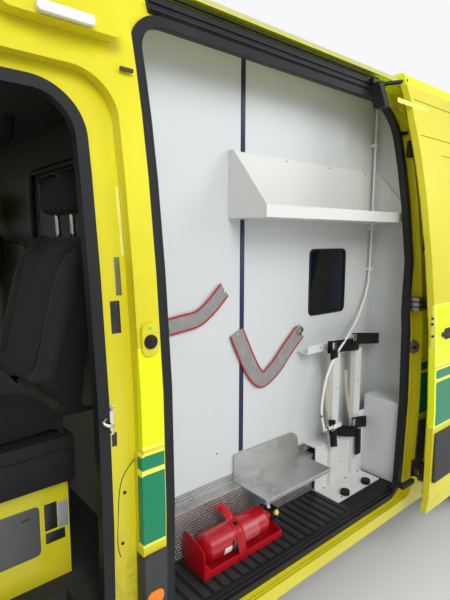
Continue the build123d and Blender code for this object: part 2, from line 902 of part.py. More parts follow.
# Lamps on the roof
light_bar_y = 640
with BuildPart() as bar:
    with BuildSketch(Plane.YZ.offset(-760)):
        with Locations((0, roof_height - 30)):
            RectangleRounded(2 * light_bar_y, 200, 60)
    extrude(amount=330)
    fillet(bar.edges().filter_by(Axis.Y).group_by(Axis.Z)[-1], 50)
light_bar = less(bar.part, form(0))
write(light_bar, "light_bar")
pod = less(
    prism(outline([(-975, 2170), (-940, 2310), (-690, 2310), (-655, 2170)], 30), Plane.XZ.offset(800), 160),
    form(0),
)
pod = common(pod, form(-45))
write(both_sides(pod), "lamp_pods")

# Locker boards with the end panel, lid and the white box in the corner
locker_window_points = [(406, 1312), (406, 1617), (675, 1617), (675, 1312)]
inner_space = form(wall + seat_gap)
locker_boards = less(
    joined(
        block((step_well_x[0], locker_rear_x), (-wall_y, -wall_y + board), (floor_top, locker_top)),
        common(
            block((locker_rear_x, locker_rear_x + 3), (-beyond, -wall_y + board), (floor_top, locker_top)),
            inner_space,
        ),
        common(
            block(step_well_x, (-beyond, -wall_y + board), (locker_top, locker_top + board)), inner_space
        ),
        common(block((760, locker_rear_x), (-beyond, -740), (mat_top, 880)), form(wall + 6)),
    ),
    prism(outline(locker_window_points, 28), Plane.XZ.offset(600), 100),
)
write(locker_boards, "locker_wall")
panes = joined(
    prism(outline(locker_window_points, 28, -seat_gap), Plane.XZ.offset(wall_y - 10), 8),
    prism(outline(bulkhead_window_points, 40, -seat_gap), Plane.YZ.offset(bulkhead_x + 4), 5),
)
write(panes, "inner_windows")

# Shelf with its lip and slanted ends
hose_x = 868
shelf_x = (-90, locker_rear_x - 1)
shelf_z = 1745
shelf_lip = (-860, 45)
sheet = 4
with BuildPart() as shelf:
    add(block(shelf_x, (shelf_lip[0], -wall_y - seat_gap), (shelf_z, shelf_z + sheet)))
    add(block(shelf_x, (shelf_lip[0], shelf_lip[0] + sheet), (shelf_z, shelf_z + shelf_lip[1])))
    add(block(shelf_x, (-wall_y - sheet - seat_gap, -wall_y - seat_gap), (shelf_z, 2000)))
    for end_x in (shelf_x[0], shelf_x[1] - sheet):
        with BuildSketch(Plane.YZ.offset(end_x)):
            with BuildLine():
                Polyline(
                    (-wall_y - seat_gap, shelf_z), (-wall_y - seat_gap, 2000), (-wall_y - 30, 2000),
                    (shelf_lip[0], shelf_z + shelf_lip[1]), (shelf_lip[0], shelf_z), close=True,
                )
            make_face()
        extrude(amount=sheet)
shelf_notch = block((hose_x - 14, hose_x + 20), (-694, -600), (1700, 2100))
write(less(shelf.part, shelf_notch), "shelf")

# Aluminium riser, ledge and L tray
riser_x = (step_well_x[0] + 13, 399)
ledge_z = (floor_top + seat_gap, floor_top + sheet + seat_gap)
riser = joined(
    block(riser_x, (-riser_y - sheet - seat_gap, -riser_y - seat_gap), (mat_top, ledge_z[1])),
    block(riser_x, (-riser_y - sheet - seat_gap, -wall_y - seat_gap), ledge_z),
    block(riser_x, (-wall_y - sheet - seat_gap, -wall_y - seat_gap), (floor_top + seat_gap, 690)),
    block((-60, 345), (-850, -wall_y - seat_gap), (floor_top + sheet + seat_gap, floor_top + 2 * sheet)),
    block((-60, 345), (-850, -846), (640, floor_top + 2 * sheet)),
    prism(
        outline([(-60, 655), (-60, 772), (345, 772), (345, 655)], [4, 4, 60, 4]),
        Plane.XZ.offset(wall_y + sheet + seat_gap), sheet,
    ),
)
write(riser, "riser_tray")

# Ribbed step mat with two rubber studs
mat_z = (step_plate_z, mat_top)
mat_plate = joined(
    block((riser_x[0] + 1, slide_opening_rear_x - 2), (-918, -riser_y - 2 * sheet), mat_z),
    block((slide_opening_front_x + 44, slide_opening_rear_x - 62), (-step_nose_y, -918), mat_z),
)
with BuildPart() as studs:
    with Locations((486, -832, mat_top + 6), (648, -837, mat_top + 6)):
        Cylinder(22, 18, align=(Align.CENTER, Align.CENTER, Align.MIN))
write(joined(mat_plate, studs.part), "step_mat")

# Cylinder rack: base plate, lower panel, two uprights and the cross bar
uprights_x = [(490, 540), (665, 715)]
rack_parts = [
    block((401, 740), (-855, -704), (mat_top, mat_top + 6)),
    block((401, 740), (-722, -716), (mat_top, 690)),
    block((401, 740), (-722, -wall_y - seat_gap), (684, 690)),
    block((330, 890), (-716, -710), (1150, 1185)),
    block((330, 370), (-716, -wall_y - seat_gap), (1150, 1156)),
    block((850, 890), (-716, -wall_y - seat_gap), (1150, 1156)),
    block((500, 530), (-768, -740), (778, 796)),
]
for left_x, right_x in uprights_x:
    rack_parts.append(less(
        block((left_x, right_x), (-741, -716), (mat_top + 6, 1130)),
        block((left_x + 4, right_x - 4), (-737, -700), (700, 1120)),
    ))
rack_parts.append(block((uprights_x[0][0], uprights_x[1][1]), (-722, -710), (1120, 1155)))
with BuildPart() as elbow:
    with BuildSketch(Plane.YZ.offset(412)):
        with Locations((-760, 787)):
            Circle(9)
    extrude(amount=90)
write(joined(*rack_parts, elbow.part), "cylinder_rack")

# Straps: black ones on the rack, grey ones on the locker wall
strap_front = -741 - seat_gap
straps = [
    block((455, 752), (strap_front - 4, strap_front), (1050, 1095)),
    block((455, 752), (strap_front - 4, strap_front), (625, 672)),
    prism(
        outline([(-95, 1300), (-50, 1315), (100, 1075), (345, 1255), (375, 1215), (95, 1020)], 8),
        Plane.XZ.offset(wall_y + seat_gap), 5,
    ),
    prism(
        outline([(-360, 1340), (-350, 1385), (-235, 1400), (-130, 1470), (-112, 1430), (-225, 1355)], 8),
        Plane.XZ.offset(wall_y + seat_gap), 5,
    ),
]
write(joined(*straps), "straps")

# Fire extinguisher lying in its cradle on the step
tank_y, tank_z, tank_r = -788, 541, 54
tank_x = (-318, -40)
with BuildPart() as extinguisher:
    with BuildSketch(Plane.XZ.offset(-tank_y)):
        with BuildLine():
            left_end = RadiusArc((tank_x[0] - 22, tank_z), (tank_x[0], tank_z + tank_r), 64)
            flank = Line(left_end @ 1, (tank_x[1], tank_z + tank_r))
            shoulder = RadiusArc(flank @ 1, (tank_x[1] + 36, tank_z + 16), 46)
            Polyline(shoulder @ 1, (tank_x[1] + 60, tank_z + 16), (tank_x[1] + 60, tank_z), left_end @ 0)
        make_face()
    revolve(axis=Axis((0, tank_y, tank_z), (1, 0, 0)))
    add(block((tank_x[1] + 58, tank_x[1] + 96), (tank_y - 20, tank_y + 20), (tank_z - 20, tank_z + 22)))
write(extinguisher.part, "extinguisher")
cradle = joined(
    block((-366, 26), (-852, -726), (mat_top, mat_top + sheet)),
    block((-370, -366), (-852, -740), (mat_top, 612)),
    block((20, 26), (-832, -744), (mat_top, 508)),
)
with BuildPart() as hoops:
    for hoop_x in (-285, -120):
        with BuildSketch(Plane.YZ.offset(hoop_x)):
            with Locations((tank_y, tank_z)):
                Circle(tank_r + seat_gap + sheet)
                Circle(tank_r + seat_gap, mode=Mode.SUBTRACT)
            with Locations((tank_y, mat_top)):
                Rectangle(60, 12 + 1, align=(Align.CENTER, Align.MIN))
        extrude(amount=34)
cradle = joined(cradle, hoops.part)
write(cradle, "extinguisher_cradle")

# White hose clipped down the corner and looped to its fitting, as x, y, z
hose_radius = 6
hose_route = [
    (hose_x, -672, 2370), (hose_x, -672, 1500), (845, -676, 1395), (785, -690, 1305), (700, -715, 1238),
    (600, -745, 1188), (500, -757, 1128), (428, -760, 1050), (394, -762, 955), (384, -760, 862),
    (412, -760, 787),
]


def bend_radii(route, share=0.45):
    """Largest arc at each corner that its two runs allow."""
    points = [Vector(*point) for point in route]
    radii = []
    for before, corner, after in zip(points, points[1:], points[2:]):
        turn = math.radians((corner - before).get_angle(after - corner))
        shorter = min((corner - before).length, (after - corner).length)
        radii.append(share * shorter / math.tan(turn / 2))
    return radii


hose_radii = bend_radii(hose_route)
print("hose radii", [round(radius) for radius in hose_radii])
with BuildPart() as hose:
    with BuildLine() as hose_path:
        FilletPolyline(*hose_route, radius=hose_radii)
    with BuildSketch(Plane(origin=hose_path.wires()[0] @ 0, z_dir=hose_path.wires()[0] % 0)):
        Circle(hose_radius)
    sweep()
tube_length = sum(edge.length for edge in hose_path.edges())
print("hose volume ratio", hose.part.volume / (math.pi * hose_radius**2 * tube_length))
write(hose.part, "hose")

# Engine with gearbox, one plain block
engine = joined(
    block((-2490, -2040), (-260, 260), (430, 1000)),
    block((-2040, -1450), (-150, 150), (380, 590)),
    block((-2300, -2220), (-rail_y[0] + seat_gap, rail_y[0] - seat_gap), (520, 580)),
)
write(engine, "engine")

# Knuckles: upright inside the wheel with the spindle
spindle_out = track / 2 + 20
with BuildPart() as knuckle:
    with BuildSketch(Plane.XZ.offset(kingpin_y - 22)):
        with BuildLine():
            FilletPolyline(
                (front_axle_x - 34, tyre_radius - 128), (front_axle_x - 55, tyre_radius),
                (front_axle_x - 30, tyre_radius + 128), (front_axle_x + 30, tyre_radius + 128),
                (front_axle_x + 55, tyre_radius), (front_axle_x + 34, tyre_radius - 128),
                radius=14, close=True,
            )
        make_face()
    extrude(amount=44)
    with BuildSketch(Plane.XZ.offset(kingpin_y)):
        with Locations((front_axle_x, tyre_radius)):
            Circle(spindle_radius)
    extrude(amount=spindle_out - kingpin_y)
write(knuckle.part, "knuckle_left")
write(mirrored(knuckle.part), "knuckle_right")

# Wheels
wheel_table = [
    ("front_left", front_axle_x, -1), ("front_right", front_axle_x, 1),
    ("rear_left", rear_axle_x, -1), ("rear_right", rear_axle_x, 1),
]
hub_holes = 12
for name, axle_x, side in wheel_table:
    with BuildPart() as tyre:
        with BuildSketch(Plane.YZ.offset(axle_x)):
            with BuildLine():
                half = tyre_width / 2
                Polyline(
                    (side * (track / 2 - half + 18), tyre_radius + rim_radius),
                    (side * (track / 2 - half), tyre_radius + rim_radius + 62),
                    (side * (track / 2 - half + 14), tyre_radius + tyre_radius - 22),
                    (side * (track / 2 - half + 42), 2 * tyre_radius),
                    (side * (track / 2 + half - 42), 2 * tyre_radius),
                    (side * (track / 2 + half - 14), tyre_radius + tyre_radius - 22),
                    (side * (track / 2 + half), tyre_radius + rim_radius + 62),
                    (side * (track / 2 + half - 18), tyre_radius + rim_radius),
                    close=True,
                )
            make_face()
        revolve(axis=Axis((axle_x, 0, tyre_radius), (0, 1, 0)))
    write(tyre.part, f"tyre_{name}")
    with BuildPart() as rim:
        with BuildSketch(Plane.YZ.offset(axle_x)):
            with BuildLine():
                Polyline(
                    (side * (track / 2 - 96), tyre_radius + rim_radius),
                    (side * (track / 2 + 96), tyre_radius + rim_radius),
                    (side * (track / 2 + 96), tyre_radius + rim_radius - 8),
                    (side * (track / 2 + 70), tyre_radius + rim_radius - 14),
                    (side * (track / 2 + 60), tyre_radius + 150),
                    (side * (track / 2 + 40), tyre_radius + 90),
                    (side * (track / 2 + 48), tyre_radius + 60),
                    (side * (track / 2 + 48), tyre_radius + spindle_radius + running_fit),
                    (side * (track / 2 - 40), tyre_radius + spindle_radius + running_fit),
                    (side * (track / 2 - 40), tyre_radius + 66),
                    (side * (track / 2 + 28), tyre_radius + 66),
                    (side * (track / 2 + 30), tyre_radius + 90),
                    (side * (track / 2 + 48), tyre_radius + 156),
                    (side * (track / 2 + 40), tyre_radius + rim_radius - 14),
                    (side * (track / 2 - 96), tyre_radius + rim_radius - 10),
                    close=True,
                )
            make_face()
        revolve(axis=Axis((axle_x, 0, tyre_radius), (0, 1, 0)))
        with BuildSketch(Plane.XZ.offset(-side * track / 2)):
            with Locations((axle_x, tyre_radius)):
                with PolarLocations(124, hub_holes):
                    Circle(15)
        extrude(amount=-side * 120, mode=Mode.SUBTRACT)
    write(rim.part, f"rim_{name}")

# Rear axle with its leaf springs and the propeller shaft
with BuildPart() as axle:
    with Locations((rear_axle_x, 0, tyre_radius)):
        Cylinder(46, 2 * (track / 2 - 60), rotation=(90, 0, 0))
        Cylinder(spindle_radius, 2 * spindle_out, rotation=(90, 0, 0))
        Sphere(150)
    with BuildSketch(Plane(origin=(-1447, 0, 480), z_dir=(rear_axle_x + 1447, 0, tyre_radius - 480))):
        Circle(38)
    extrude(amount=rear_axle_x + 1447)
    for spring_y in (-475, 475):
        with BuildSketch(Plane.XZ.offset(spring_y - 32)):
            with BuildLine():
                lower = ThreePointArc(
                    (rear_axle_x - 650, spring_eye_z - 11), (rear_axle_x, 290),
                    (rear_axle_x + 650, spring_eye_z - 11),
                )
                end_cap = Line(lower @ 1, (rear_axle_x + 650, spring_eye_z))
                upper = ThreePointArc(end_cap @ 1, (rear_axle_x, 322), (rear_axle_x - 650, spring_eye_z))
                Line(upper @ 1, lower @ 0)
            make_face()
        extrude(amount=64)
write(axle.part, "rear_axle")

# Fuel tank and exhaust under the floor
with BuildPart() as fuel_tank:
    with Locations((-250, 250, 455)):
        Box(900, 340, 240)
    fillet(fuel_tank.edges().filter_by(Axis.X), 50)
    for hanger_x in (-560, 40):
        add(block((hanger_x, hanger_x + 50), (150, 350), (570, floor_top - floor_plate - seat_gap)))
write(fuel_tank.part, "fuel_tank")
with BuildPart() as exhaust:
    with BuildLine() as pipe_path:
        FilletPolyline(
            (-2034, -215, 520), (-1500, -235, 430), (-1300, -250, 420), (1300, -250, 420),
            radius=120,
        )
    with BuildSketch(Plane(origin=pipe_path.wires()[0] @ 0, z_dir=pipe_path.wires()[0] % 0)):
        Circle(30)
    sweep()
    with Locations((300, -250, 420)):
        Cylinder(95, 620, rotation=(0, 90, 0))
    for hanger_x in (-900, 1000):
        add(block((hanger_x - 10, hanger_x + 10), (-260, -240), (430, floor_top - floor_plate - seat_gap)))
write(exhaust.part, "exhaust")
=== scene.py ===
"""Looks of a high-roof emergency ambulance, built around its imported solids.

The scene shows the vehicle with its left sliding door slid back and its left cab door swung open.
+X runs to the rear, -Y is the vehicle's left side and +Z is up, all in metres.
"""

from __future__ import annotations

import json
import logging
import math
from dataclasses import dataclass
from enum import Enum
from typing import Any, Callable

import bpy
from mathutils import Matrix, Vector

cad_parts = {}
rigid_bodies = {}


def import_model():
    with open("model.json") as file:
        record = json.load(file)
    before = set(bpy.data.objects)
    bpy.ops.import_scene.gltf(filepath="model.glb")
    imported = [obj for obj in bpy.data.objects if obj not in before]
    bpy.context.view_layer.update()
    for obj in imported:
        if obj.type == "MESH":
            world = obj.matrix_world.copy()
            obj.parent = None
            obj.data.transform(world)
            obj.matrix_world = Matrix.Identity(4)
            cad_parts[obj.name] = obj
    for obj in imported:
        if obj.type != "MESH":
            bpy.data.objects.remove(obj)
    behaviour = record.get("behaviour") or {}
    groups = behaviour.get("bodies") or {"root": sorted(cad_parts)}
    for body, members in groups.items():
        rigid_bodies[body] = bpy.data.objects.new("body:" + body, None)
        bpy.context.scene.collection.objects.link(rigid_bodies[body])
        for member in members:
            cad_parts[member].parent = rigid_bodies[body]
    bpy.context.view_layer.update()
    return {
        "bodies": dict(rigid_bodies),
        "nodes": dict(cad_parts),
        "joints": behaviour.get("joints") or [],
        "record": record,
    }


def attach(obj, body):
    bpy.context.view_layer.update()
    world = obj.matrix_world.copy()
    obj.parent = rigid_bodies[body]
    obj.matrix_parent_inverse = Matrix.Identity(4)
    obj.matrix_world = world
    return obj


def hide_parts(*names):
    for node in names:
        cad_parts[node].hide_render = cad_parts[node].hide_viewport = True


log = logging.getLogger("ambulance")

Point = tuple[float, float, float]
Flat = tuple[float, float]
Colour = tuple[float, float, float]
Piece = bpy.types.Object
Material = bpy.types.Material

REARWARD: Point = (1, 0, 0)
FORWARD: Point = (-1, 0, 0)
LEFTWARD: Point = (0, -1, 0)
UPWARD: Point = (0, 0, 1)
SIDES = (("left", -1), ("right", 1))


class Axis(Enum):
    """The three directions of the vehicle's frame."""

    X = 0
    Y = 1
    Z = 2


# Shader maths


def operator(operation: str, swapped: bool = False) -> Callable[["Sock", Any], "Sock"]:
    """Method of two values that adds a Math node.

    Args:
        operation: Blender's name of the operation.
        swapped: Whether the other value comes first.

    Returns:
        The method.
    """

    def apply(value: "Sock", other: Any) -> "Sock":
        """The node's result."""
        return value.math(operation, *((other, value) if swapped else (value, other)))

    return apply


@dataclass(frozen=True)
class Sock:
    """A shader value that can be used in Python expressions."""

    graph: "Graph"
    socket: bpy.types.NodeSocket

    def math(self, operation: str, *values: Any) -> "Sock":
        """Add a Math node on these values."""
        return self.graph.node("ShaderNodeMath", {"operation": operation}, dict(enumerate(values)))

    __add__ = operator("ADD")
    __radd__ = operator("ADD", True)
    __sub__ = operator("SUBTRACT")
    __rsub__ = operator("SUBTRACT", True)
    __mul__ = operator("MULTIPLY")
    __rmul__ = operator("MULTIPLY", True)
    __truediv__ = operator("DIVIDE")
    __mod__ = operator("FLOORED_MODULO")
    __gt__ = operator("GREATER_THAN")
    __lt__ = operator("LESS_THAN")
    least = operator("MINIMUM")
    most = operator("MAXIMUM")

    def __abs__(self) -> "Sock":
        """Size without its sign."""
        return self.math("ABSOLUTE", self)

    def root(self) -> "Sock":
        """Square root."""
        return self.math("SQRT", self)

    def ramp(self, low: float, high: float, start: float = 0.0, end: float = 1.0) -> "Sock":
        """Smooth change from start at low to end at high.

        Args:
            low: Value at which the change begins.
            high: Value at which it ends.
            start: Result at and below low.
            end: Result at and above high.

        Returns:
            The changed value.
        """
        settings = {"interpolation_type": "SMOOTHSTEP"}
        return self.graph.node("ShaderNodeMapRange", settings, {0: self, 1: low, 2: high, 3: start, 4: end})


class Graph:
    """A material's node tree with one Principled shader."""

    def __init__(self, name: str) -> None:
        """Make the material and leave only its output and shader.

        Args:
            name: Name of the material.
        """
        self.material = bpy.data.materials.new(name)
        self.material.use_nodes = True
        self.tree = self.material.node_tree
        self.tree.nodes.clear()
        self.shader = self.tree.nodes.new("ShaderNodeBsdfPrincipled")
        output = self.tree.nodes.new("ShaderNodeOutputMaterial")
        self.tree.links.new(self.shader.outputs[0], output.inputs[0])

    def node(
        self, kind: str, settings: dict[str, Any] | None = None, inputs: dict[Any, Any] | None = None,
        out: int | str = 0,
    ) -> Sock:
        """Add one node.

        Args:
            kind: Blender's type name of the node.
            settings: Properties that are set first; "stops" holds a ramp's positions and colours.
            inputs: Values or links by the socket's number or name.
            out: The output that is wanted.

        Returns:
            That output.
        """
        made = self.tree.nodes.new(kind)
        for key, value in (settings or {}).items():
            if key == "stops":
                elements = made.color_ramp.elements
                while len(elements) < len(value):
                    elements.new(0.5)
                for element, (position, colour) in zip(elements, value):
                    element.position = position
                    element.color = (*colour, 1.0)
            else:
                setattr(made, key, value)
        for key, value in (inputs or {}).items():
            if isinstance(value, Sock):
                self.tree.links.new(value.socket, made.inputs[key])
            elif isinstance(value, tuple) and len(value) == 3 and made.inputs[key].type == "RGBA":
                made.inputs[key].default_value = (*value, 1.0)
            else:
                made.inputs[key].default_value = value
        return Sock(self, made.outputs[out])

    def place(
        self, turn: float = 0.0, pivot: Point = (0, 0, 0), shift: Point = (0, 0, 0), about: str = "Z_AXIS",
    ) -> Sock:
        """Object coordinates, moved back to where a shut panel's would be.

        Args:
            turn: Turn that shuts the panel, in degrees.
            pivot: A point of the line that it turns about.
            shift: How far the panel was slid.
            about: The direction of that line, as Blender names it.

        Returns:
            The coordinates as a vector.
        """
        coordinates = self.node("ShaderNodeTexCoord", out="Object")
        if turn:
            settings = {"rotation_type": about}
            values = {"Vector": coordinates, "Center": pivot, "Angle": math.radians(turn)}
            coordinates = self.node("ShaderNodeVectorRotate", settings, values)
        if any(shift):
            coordinates = self.node("ShaderNodeVectorMath", {"operation": "SUBTRACT"}, {0: coordinates, 1: shift})
        return coordinates

    def parts(self, vector: Sock) -> tuple[Sock, Sock, Sock]:
        """The X, Y and Z of a vector.

        Args:
            vector: The vector.

        Returns:
            Its three values.
        """
        split = self.tree.nodes.new("ShaderNodeSeparateXYZ")
        self.tree.links.new(vector.socket, split.inputs[0])
        return Sock(self, split.outputs[0]), Sock(self, split.outputs[1]), Sock(self, split.outputs[2])

    def join(self, x: Any, y: Any, z: Any) -> Sock:
        """A vector from its parts."""
        return self.node("ShaderNodeCombineXYZ", None, {0: x, 1: y, 2: z})

    def noise(self, vector: Sock, scale: float, detail: float = 3.0, rough: float = 0.55) -> Sock:
        """Cloudy noise from 0 to 1."""
        values = {"Vector": vector, "Scale": scale, "Detail": detail, "Roughness": rough}
        return self.node("ShaderNodeTexNoise", None, values)

    def wave(self, vector: Sock, direction: str, scale: float) -> Sock:
        """Even waves from 0 to 1 along one direction."""
        return self.node("ShaderNodeTexWave", {"bands_direction": direction}, {"Vector": vector, "Scale": scale})

    def mix(self, factor: Any, first: Any, second: Any) -> Sock:
        """Blend of two colours."""
        values = {0: factor, 6: first, 7: second}
        return self.node("ShaderNodeMix", {"data_type": "RGBA"}, values, out=2)

    def bump(self, height: Sock, distance: float, strength: float = 1.0, below: Sock | None = None) -> Sock:
        """Surface normal from a height.

        Args:
            height: The height that it follows.
            distance: How far the surface seems to rise.
            strength: How strongly it shows.
            below: Normal of a coarser bump under this one.

        Returns:
            The normal.
        """
        values: dict[Any, Any] = {"Height": height, "Distance": distance, "Strength": strength}
        if below is not None:
            values["Normal"] = below
        return self.node("ShaderNodeBump", None, values)

    def finish(self, **sockets: Any) -> Material:
        """Set the shader's sockets, with underscores for spaces, and give the material.

        Args:
            **sockets: Values or links by the socket's name.

        Returns:
            The material.
        """
        for name, value in sockets.items():
            target = self.shader.inputs[name.replace("_", " ")]
            if isinstance(value, Sock):
                self.tree.links.new(value.socket, target)
            elif isinstance(value, tuple) and len(value) == 3:
                target.default_value = (*value, 1.0)
            else:
                target.default_value = value
        return self.material

    def window(self, x: Sock, z: Sock, low: Flat, high: Flat, radius: float = 0.012, soft: float = 0.0008) -> Sock:
        """1 inside a rectangle with rounded corners.

        Args:
            x: First coordinate.
            z: Second coordinate.
            low: Lowest corner.
            high: Highest corner.
            radius: Corner radius.
            soft: Width of the edge.

        Returns:
            The mask.
        """
        across = (abs(x - (low[0] + high[0]) / 2) - ((high[0] - low[0]) / 2 - radius)).most(0.0)
        upright = (abs(z - (low[1] + high[1]) / 2) - ((high[1] - low[1]) / 2 - radius)).most(0.0)
        distance = (across * across + upright * upright).root()
        return distance.ramp(radius - soft, radius + soft, 1.0, 0.0)


# Finishes


@dataclass(frozen=True)
class Finish:
    """A finish by name; each kind adds its own values and build."""

    name: str

    def start(self) -> tuple[Graph, Sock]:
        """The new material's nodes and its Object coordinates."""
        graph = Graph(self.name)
        return graph, graph.place()

    def build(self) -> Material:
        """Make the material."""
        raise NotImplementedError


@dataclass(frozen=True)
class Livery(Finish):
    """Yellow body paint with its chequered green and fluorescent blocks.

    The pattern is drawn in the place that the panel has when it is shut.
    """

    turn: float = 0.0
    pivot: Point = (0.0, 0.0, 0.0)
    shift: Point = (0.0, 0.0, 0.0)
    about: str = "Z_AXIS"
    across: Axis = Axis.X
    blocks: bool = True
    paint: Colour = (0.745, 0.67, 0.02)
    shade: Colour = (0.66, 0.58, 0.018)
    edging: Colour = (0.86, 0.86, 0.1)
    fluorescent: Colour = (0.8, 0.9, 0.0)
    green: Colour = (0.0, 0.225, 0.1)
    block_start: float = -0.69
    block_length: float = 0.6
    rows: tuple[Flat, ...] = ((0.828, 1.031), (1.045, 1.085), (1.11, 1.373))
    margin: float = 0.008
    top_stripe: Flat = (2.345, 2.43)
    skin_y: float = 0.972
    skin_x: float = 3.07
    front_x: float = -2.484
    bare: Flat | None = None
    strip: tuple[Flat, Flat] | None = None
    arms: tuple[tuple[Point, Point], ...] = ()
    lining: Colour = (0.5, 0.51, 0.51)
    joint: Colour = (0.22, 0.19, 0.02)
    dirt: Colour = (0.16, 0.14, 0.07)
    arm_black: Colour = (0.01, 0.01, 0.011)

    def _blocks(self, graph: Graph, u: Sock, z: Sock, row: Flat, start: float, pitch: float, grow: float) -> Sock:
        """Rounded blocks that repeat along the side.

        Args:
            graph: The material's nodes.
            u: Distance along the panel.
            z: Height.
            row: Lower and upper edge.
            start: Where one block begins.
            pitch: From one block to the next.
            grow: How much larger each block is drawn.

        Returns:
            The mask.
        """
        local = (u - (start - 0.1)) % pitch
        low = (0.1 + self.margin - grow, row[0] - grow)
        high = (0.1 + self.block_length - self.margin + grow, row[1] + grow)
        return graph.window(local, z, low, high, 0.012)

    def _pattern(self, graph: Graph, place: Sock, plain: Sock) -> Sock:
        """Draw the blocks and the stripe over the plain paint.

        Args:
            graph: The material's nodes.
            place: Coordinates on the shut panel.
            plain: Colour of the paint.

        Returns:
            The whole colour.
        """
        x, y, z = graph.parts(place)
        u = (x, y, z)[self.across.value]
        length = self.block_length
        pale: Any = 0.0
        green: Any = 0.0
        bright: Any = 0.0
        for number, row in enumerate(self.rows):
            first, second = self.block_start, self.block_start + length
            if number == len(self.rows) - 1:
                first, second = second, first
            green = self._blocks(graph, u, z, row, first, 2 * length, 0.0).most(green)
            bright = self._blocks(graph, u, z, row, second, 2 * length, 0.0).most(bright)
            for start in (first, second):
                pale = self._blocks(graph, u, z, row, start, 2 * length, self.margin).most(pale)
        on_skin = (abs(y) > self.skin_y) * (x > self.front_x) if self.across is Axis.X else x > self.skin_x
        if self.bare is not None:
            on_skin = on_skin * (x < self.bare[0]).most(x > self.bare[1])
        stripe = (z > self.top_stripe[0]) * (z < self.top_stripe[1]) * (abs(y) > 0.7)
        ribs = graph.wave(place, "X", 55.0)
        leaf = graph.mix(ribs * 0.3, self.green, tuple(0.78 * c for c in self.green))
        colour = graph.mix(pale * on_skin, plain, self.edging)
        if self.strip is not None:
            (x_low, x_high), (z_low, z_high) = self.strip
            stripe = stripe.most((x > x_low) * (x < x_high) * (z > z_low) * (z < z_high))
        colour = graph.mix(stripe.most(bright * on_skin), colour, self.fluorescent)
        return graph.mix(green * on_skin, colour, leaf)

    def build(self) -> Material:
        """Make the material.

        Returns:
            The material.
        """
        graph = Graph(self.name)
        place = graph.place(self.turn, self.pivot, self.shift, self.about)
        x, y, z = graph.parts(place)
        cloud = graph.noise(place, 1.7, 4.0)
        speck = graph.noise(place, 38.0, 5.0, 0.7)
        colour = graph.mix(cloud.ramp(0.35, 0.7), self.paint, self.shade)
        if self.blocks:
            colour = self._pattern(graph, place, colour)
        jamb = (abs(y) < 0.958) * (abs(y) > 0.8) * (x > -0.9) * (x < 0.9)
        low = z.ramp(0.3, 0.9, 1.0, 0.0)
        grime = (speck * cloud.ramp(0.45, 0.75)).ramp(0.33, 0.62) * low.most(jamb * z.ramp(0.6, 1.2, 1.0, 0.0))
        groove = (abs(abs(y) - 0.951) < 0.0012).most(abs(abs(y) - 0.965) < 0.0012)
        groove = groove * (z < 0.402) * (z > 0.394) * (x > -0.56) * (x < 0.74)
        colour = graph.mix(groove * 0.8, colour, self.joint)
        colour = graph.mix(grime * 0.4, colour, self.dirt)
        _, inward, _ = graph.parts(graph.node("ShaderNodeTexCoord", out="Normal"))
        colour = graph.mix((inward < -0.35) * (y > 0.3) * (x > -0.55) * (z > 0.5), colour, self.lining)
        orange_peel = graph.noise(place, 420.0, 2.0)
        rough = 0.2 + 0.12 * cloud + 0.35 * grime
        for low, high in self.arms:
            inside = 1.0
            for value, least, most in zip(graph.parts(graph.place()), low, high):
                inside = (value > least) * (value < most) * inside
            colour = graph.mix(inside, colour, self.arm_black)
            rough = rough + 0.3 * inside
        return graph.finish(
            Base_Color=colour, Roughness=rough, Coat_Weight=0.22, Coat_Roughness=0.08, Specular_IOR_Level=0.32,
            Normal=graph.bump(orange_peel, 0.0004, 0.12),
        )


@dataclass(frozen=True)
class Plastic(Finish):
    """Moulded plastic, rubber or coated metal with a fine grain."""

    colour: Colour
    rough: float = 0.6
    grain: float = 900.0
    depth: float = 0.0003
    dust: float = 0.25
    gloss: float = 0.5

    def build(self) -> Material:
        """Make the material.

        Returns:
            The material.
        """
        graph, place = self.start()
        cloud = graph.noise(place, 6.0, 5.0, 0.62)
        fine = graph.noise(place, self.grain, 2.0)
        pale = tuple(min(1.0, 1.4 * c + 0.02) for c in self.colour)
        dusty = cloud.ramp(0.48, 0.78) * self.dust
        return graph.finish(
            Base_Color=graph.mix(dusty, self.colour, pale),
            Roughness=self.rough + 0.25 * dusty + 0.06 * (fine - 0.5),
            Specular_IOR_Level=self.gloss,
            Normal=graph.bump(fine, self.depth, 0.5),
        )


@dataclass(frozen=True)
class Metal(Finish):
    """Bare, brushed or plated metal with scratches."""

    colour: Colour
    rough: float = 0.3
    brushed: Axis | None = None
    wear: float = 0.4

    def build(self) -> Material:
        """Make the material.

        Returns:
            The material.
        """
        graph, place = self.start()
        x, y, z = graph.parts(place)
        stretch = [12.0 if self.brushed is axis else 900.0 for axis in Axis] if self.brushed else [260.0] * 3
        fine = graph.noise(graph.join(x * stretch[0], y * stretch[1], z * stretch[2]), 1.0, 3.0)
        cloud = graph.noise(place, 9.0, 6.0, 0.65)
        marks = cloud.ramp(0.5, 0.75) * self.wear
        dark = tuple(0.55 * c for c in self.colour)
        return graph.finish(
            Base_Color=graph.mix(marks, self.colour, dark),
            Roughness=self.rough + 0.25 * marks + 0.1 * (fine - 0.5),
            Metallic=1.0,
            Normal=graph.bump(fine, 0.0001, 0.35),
        )


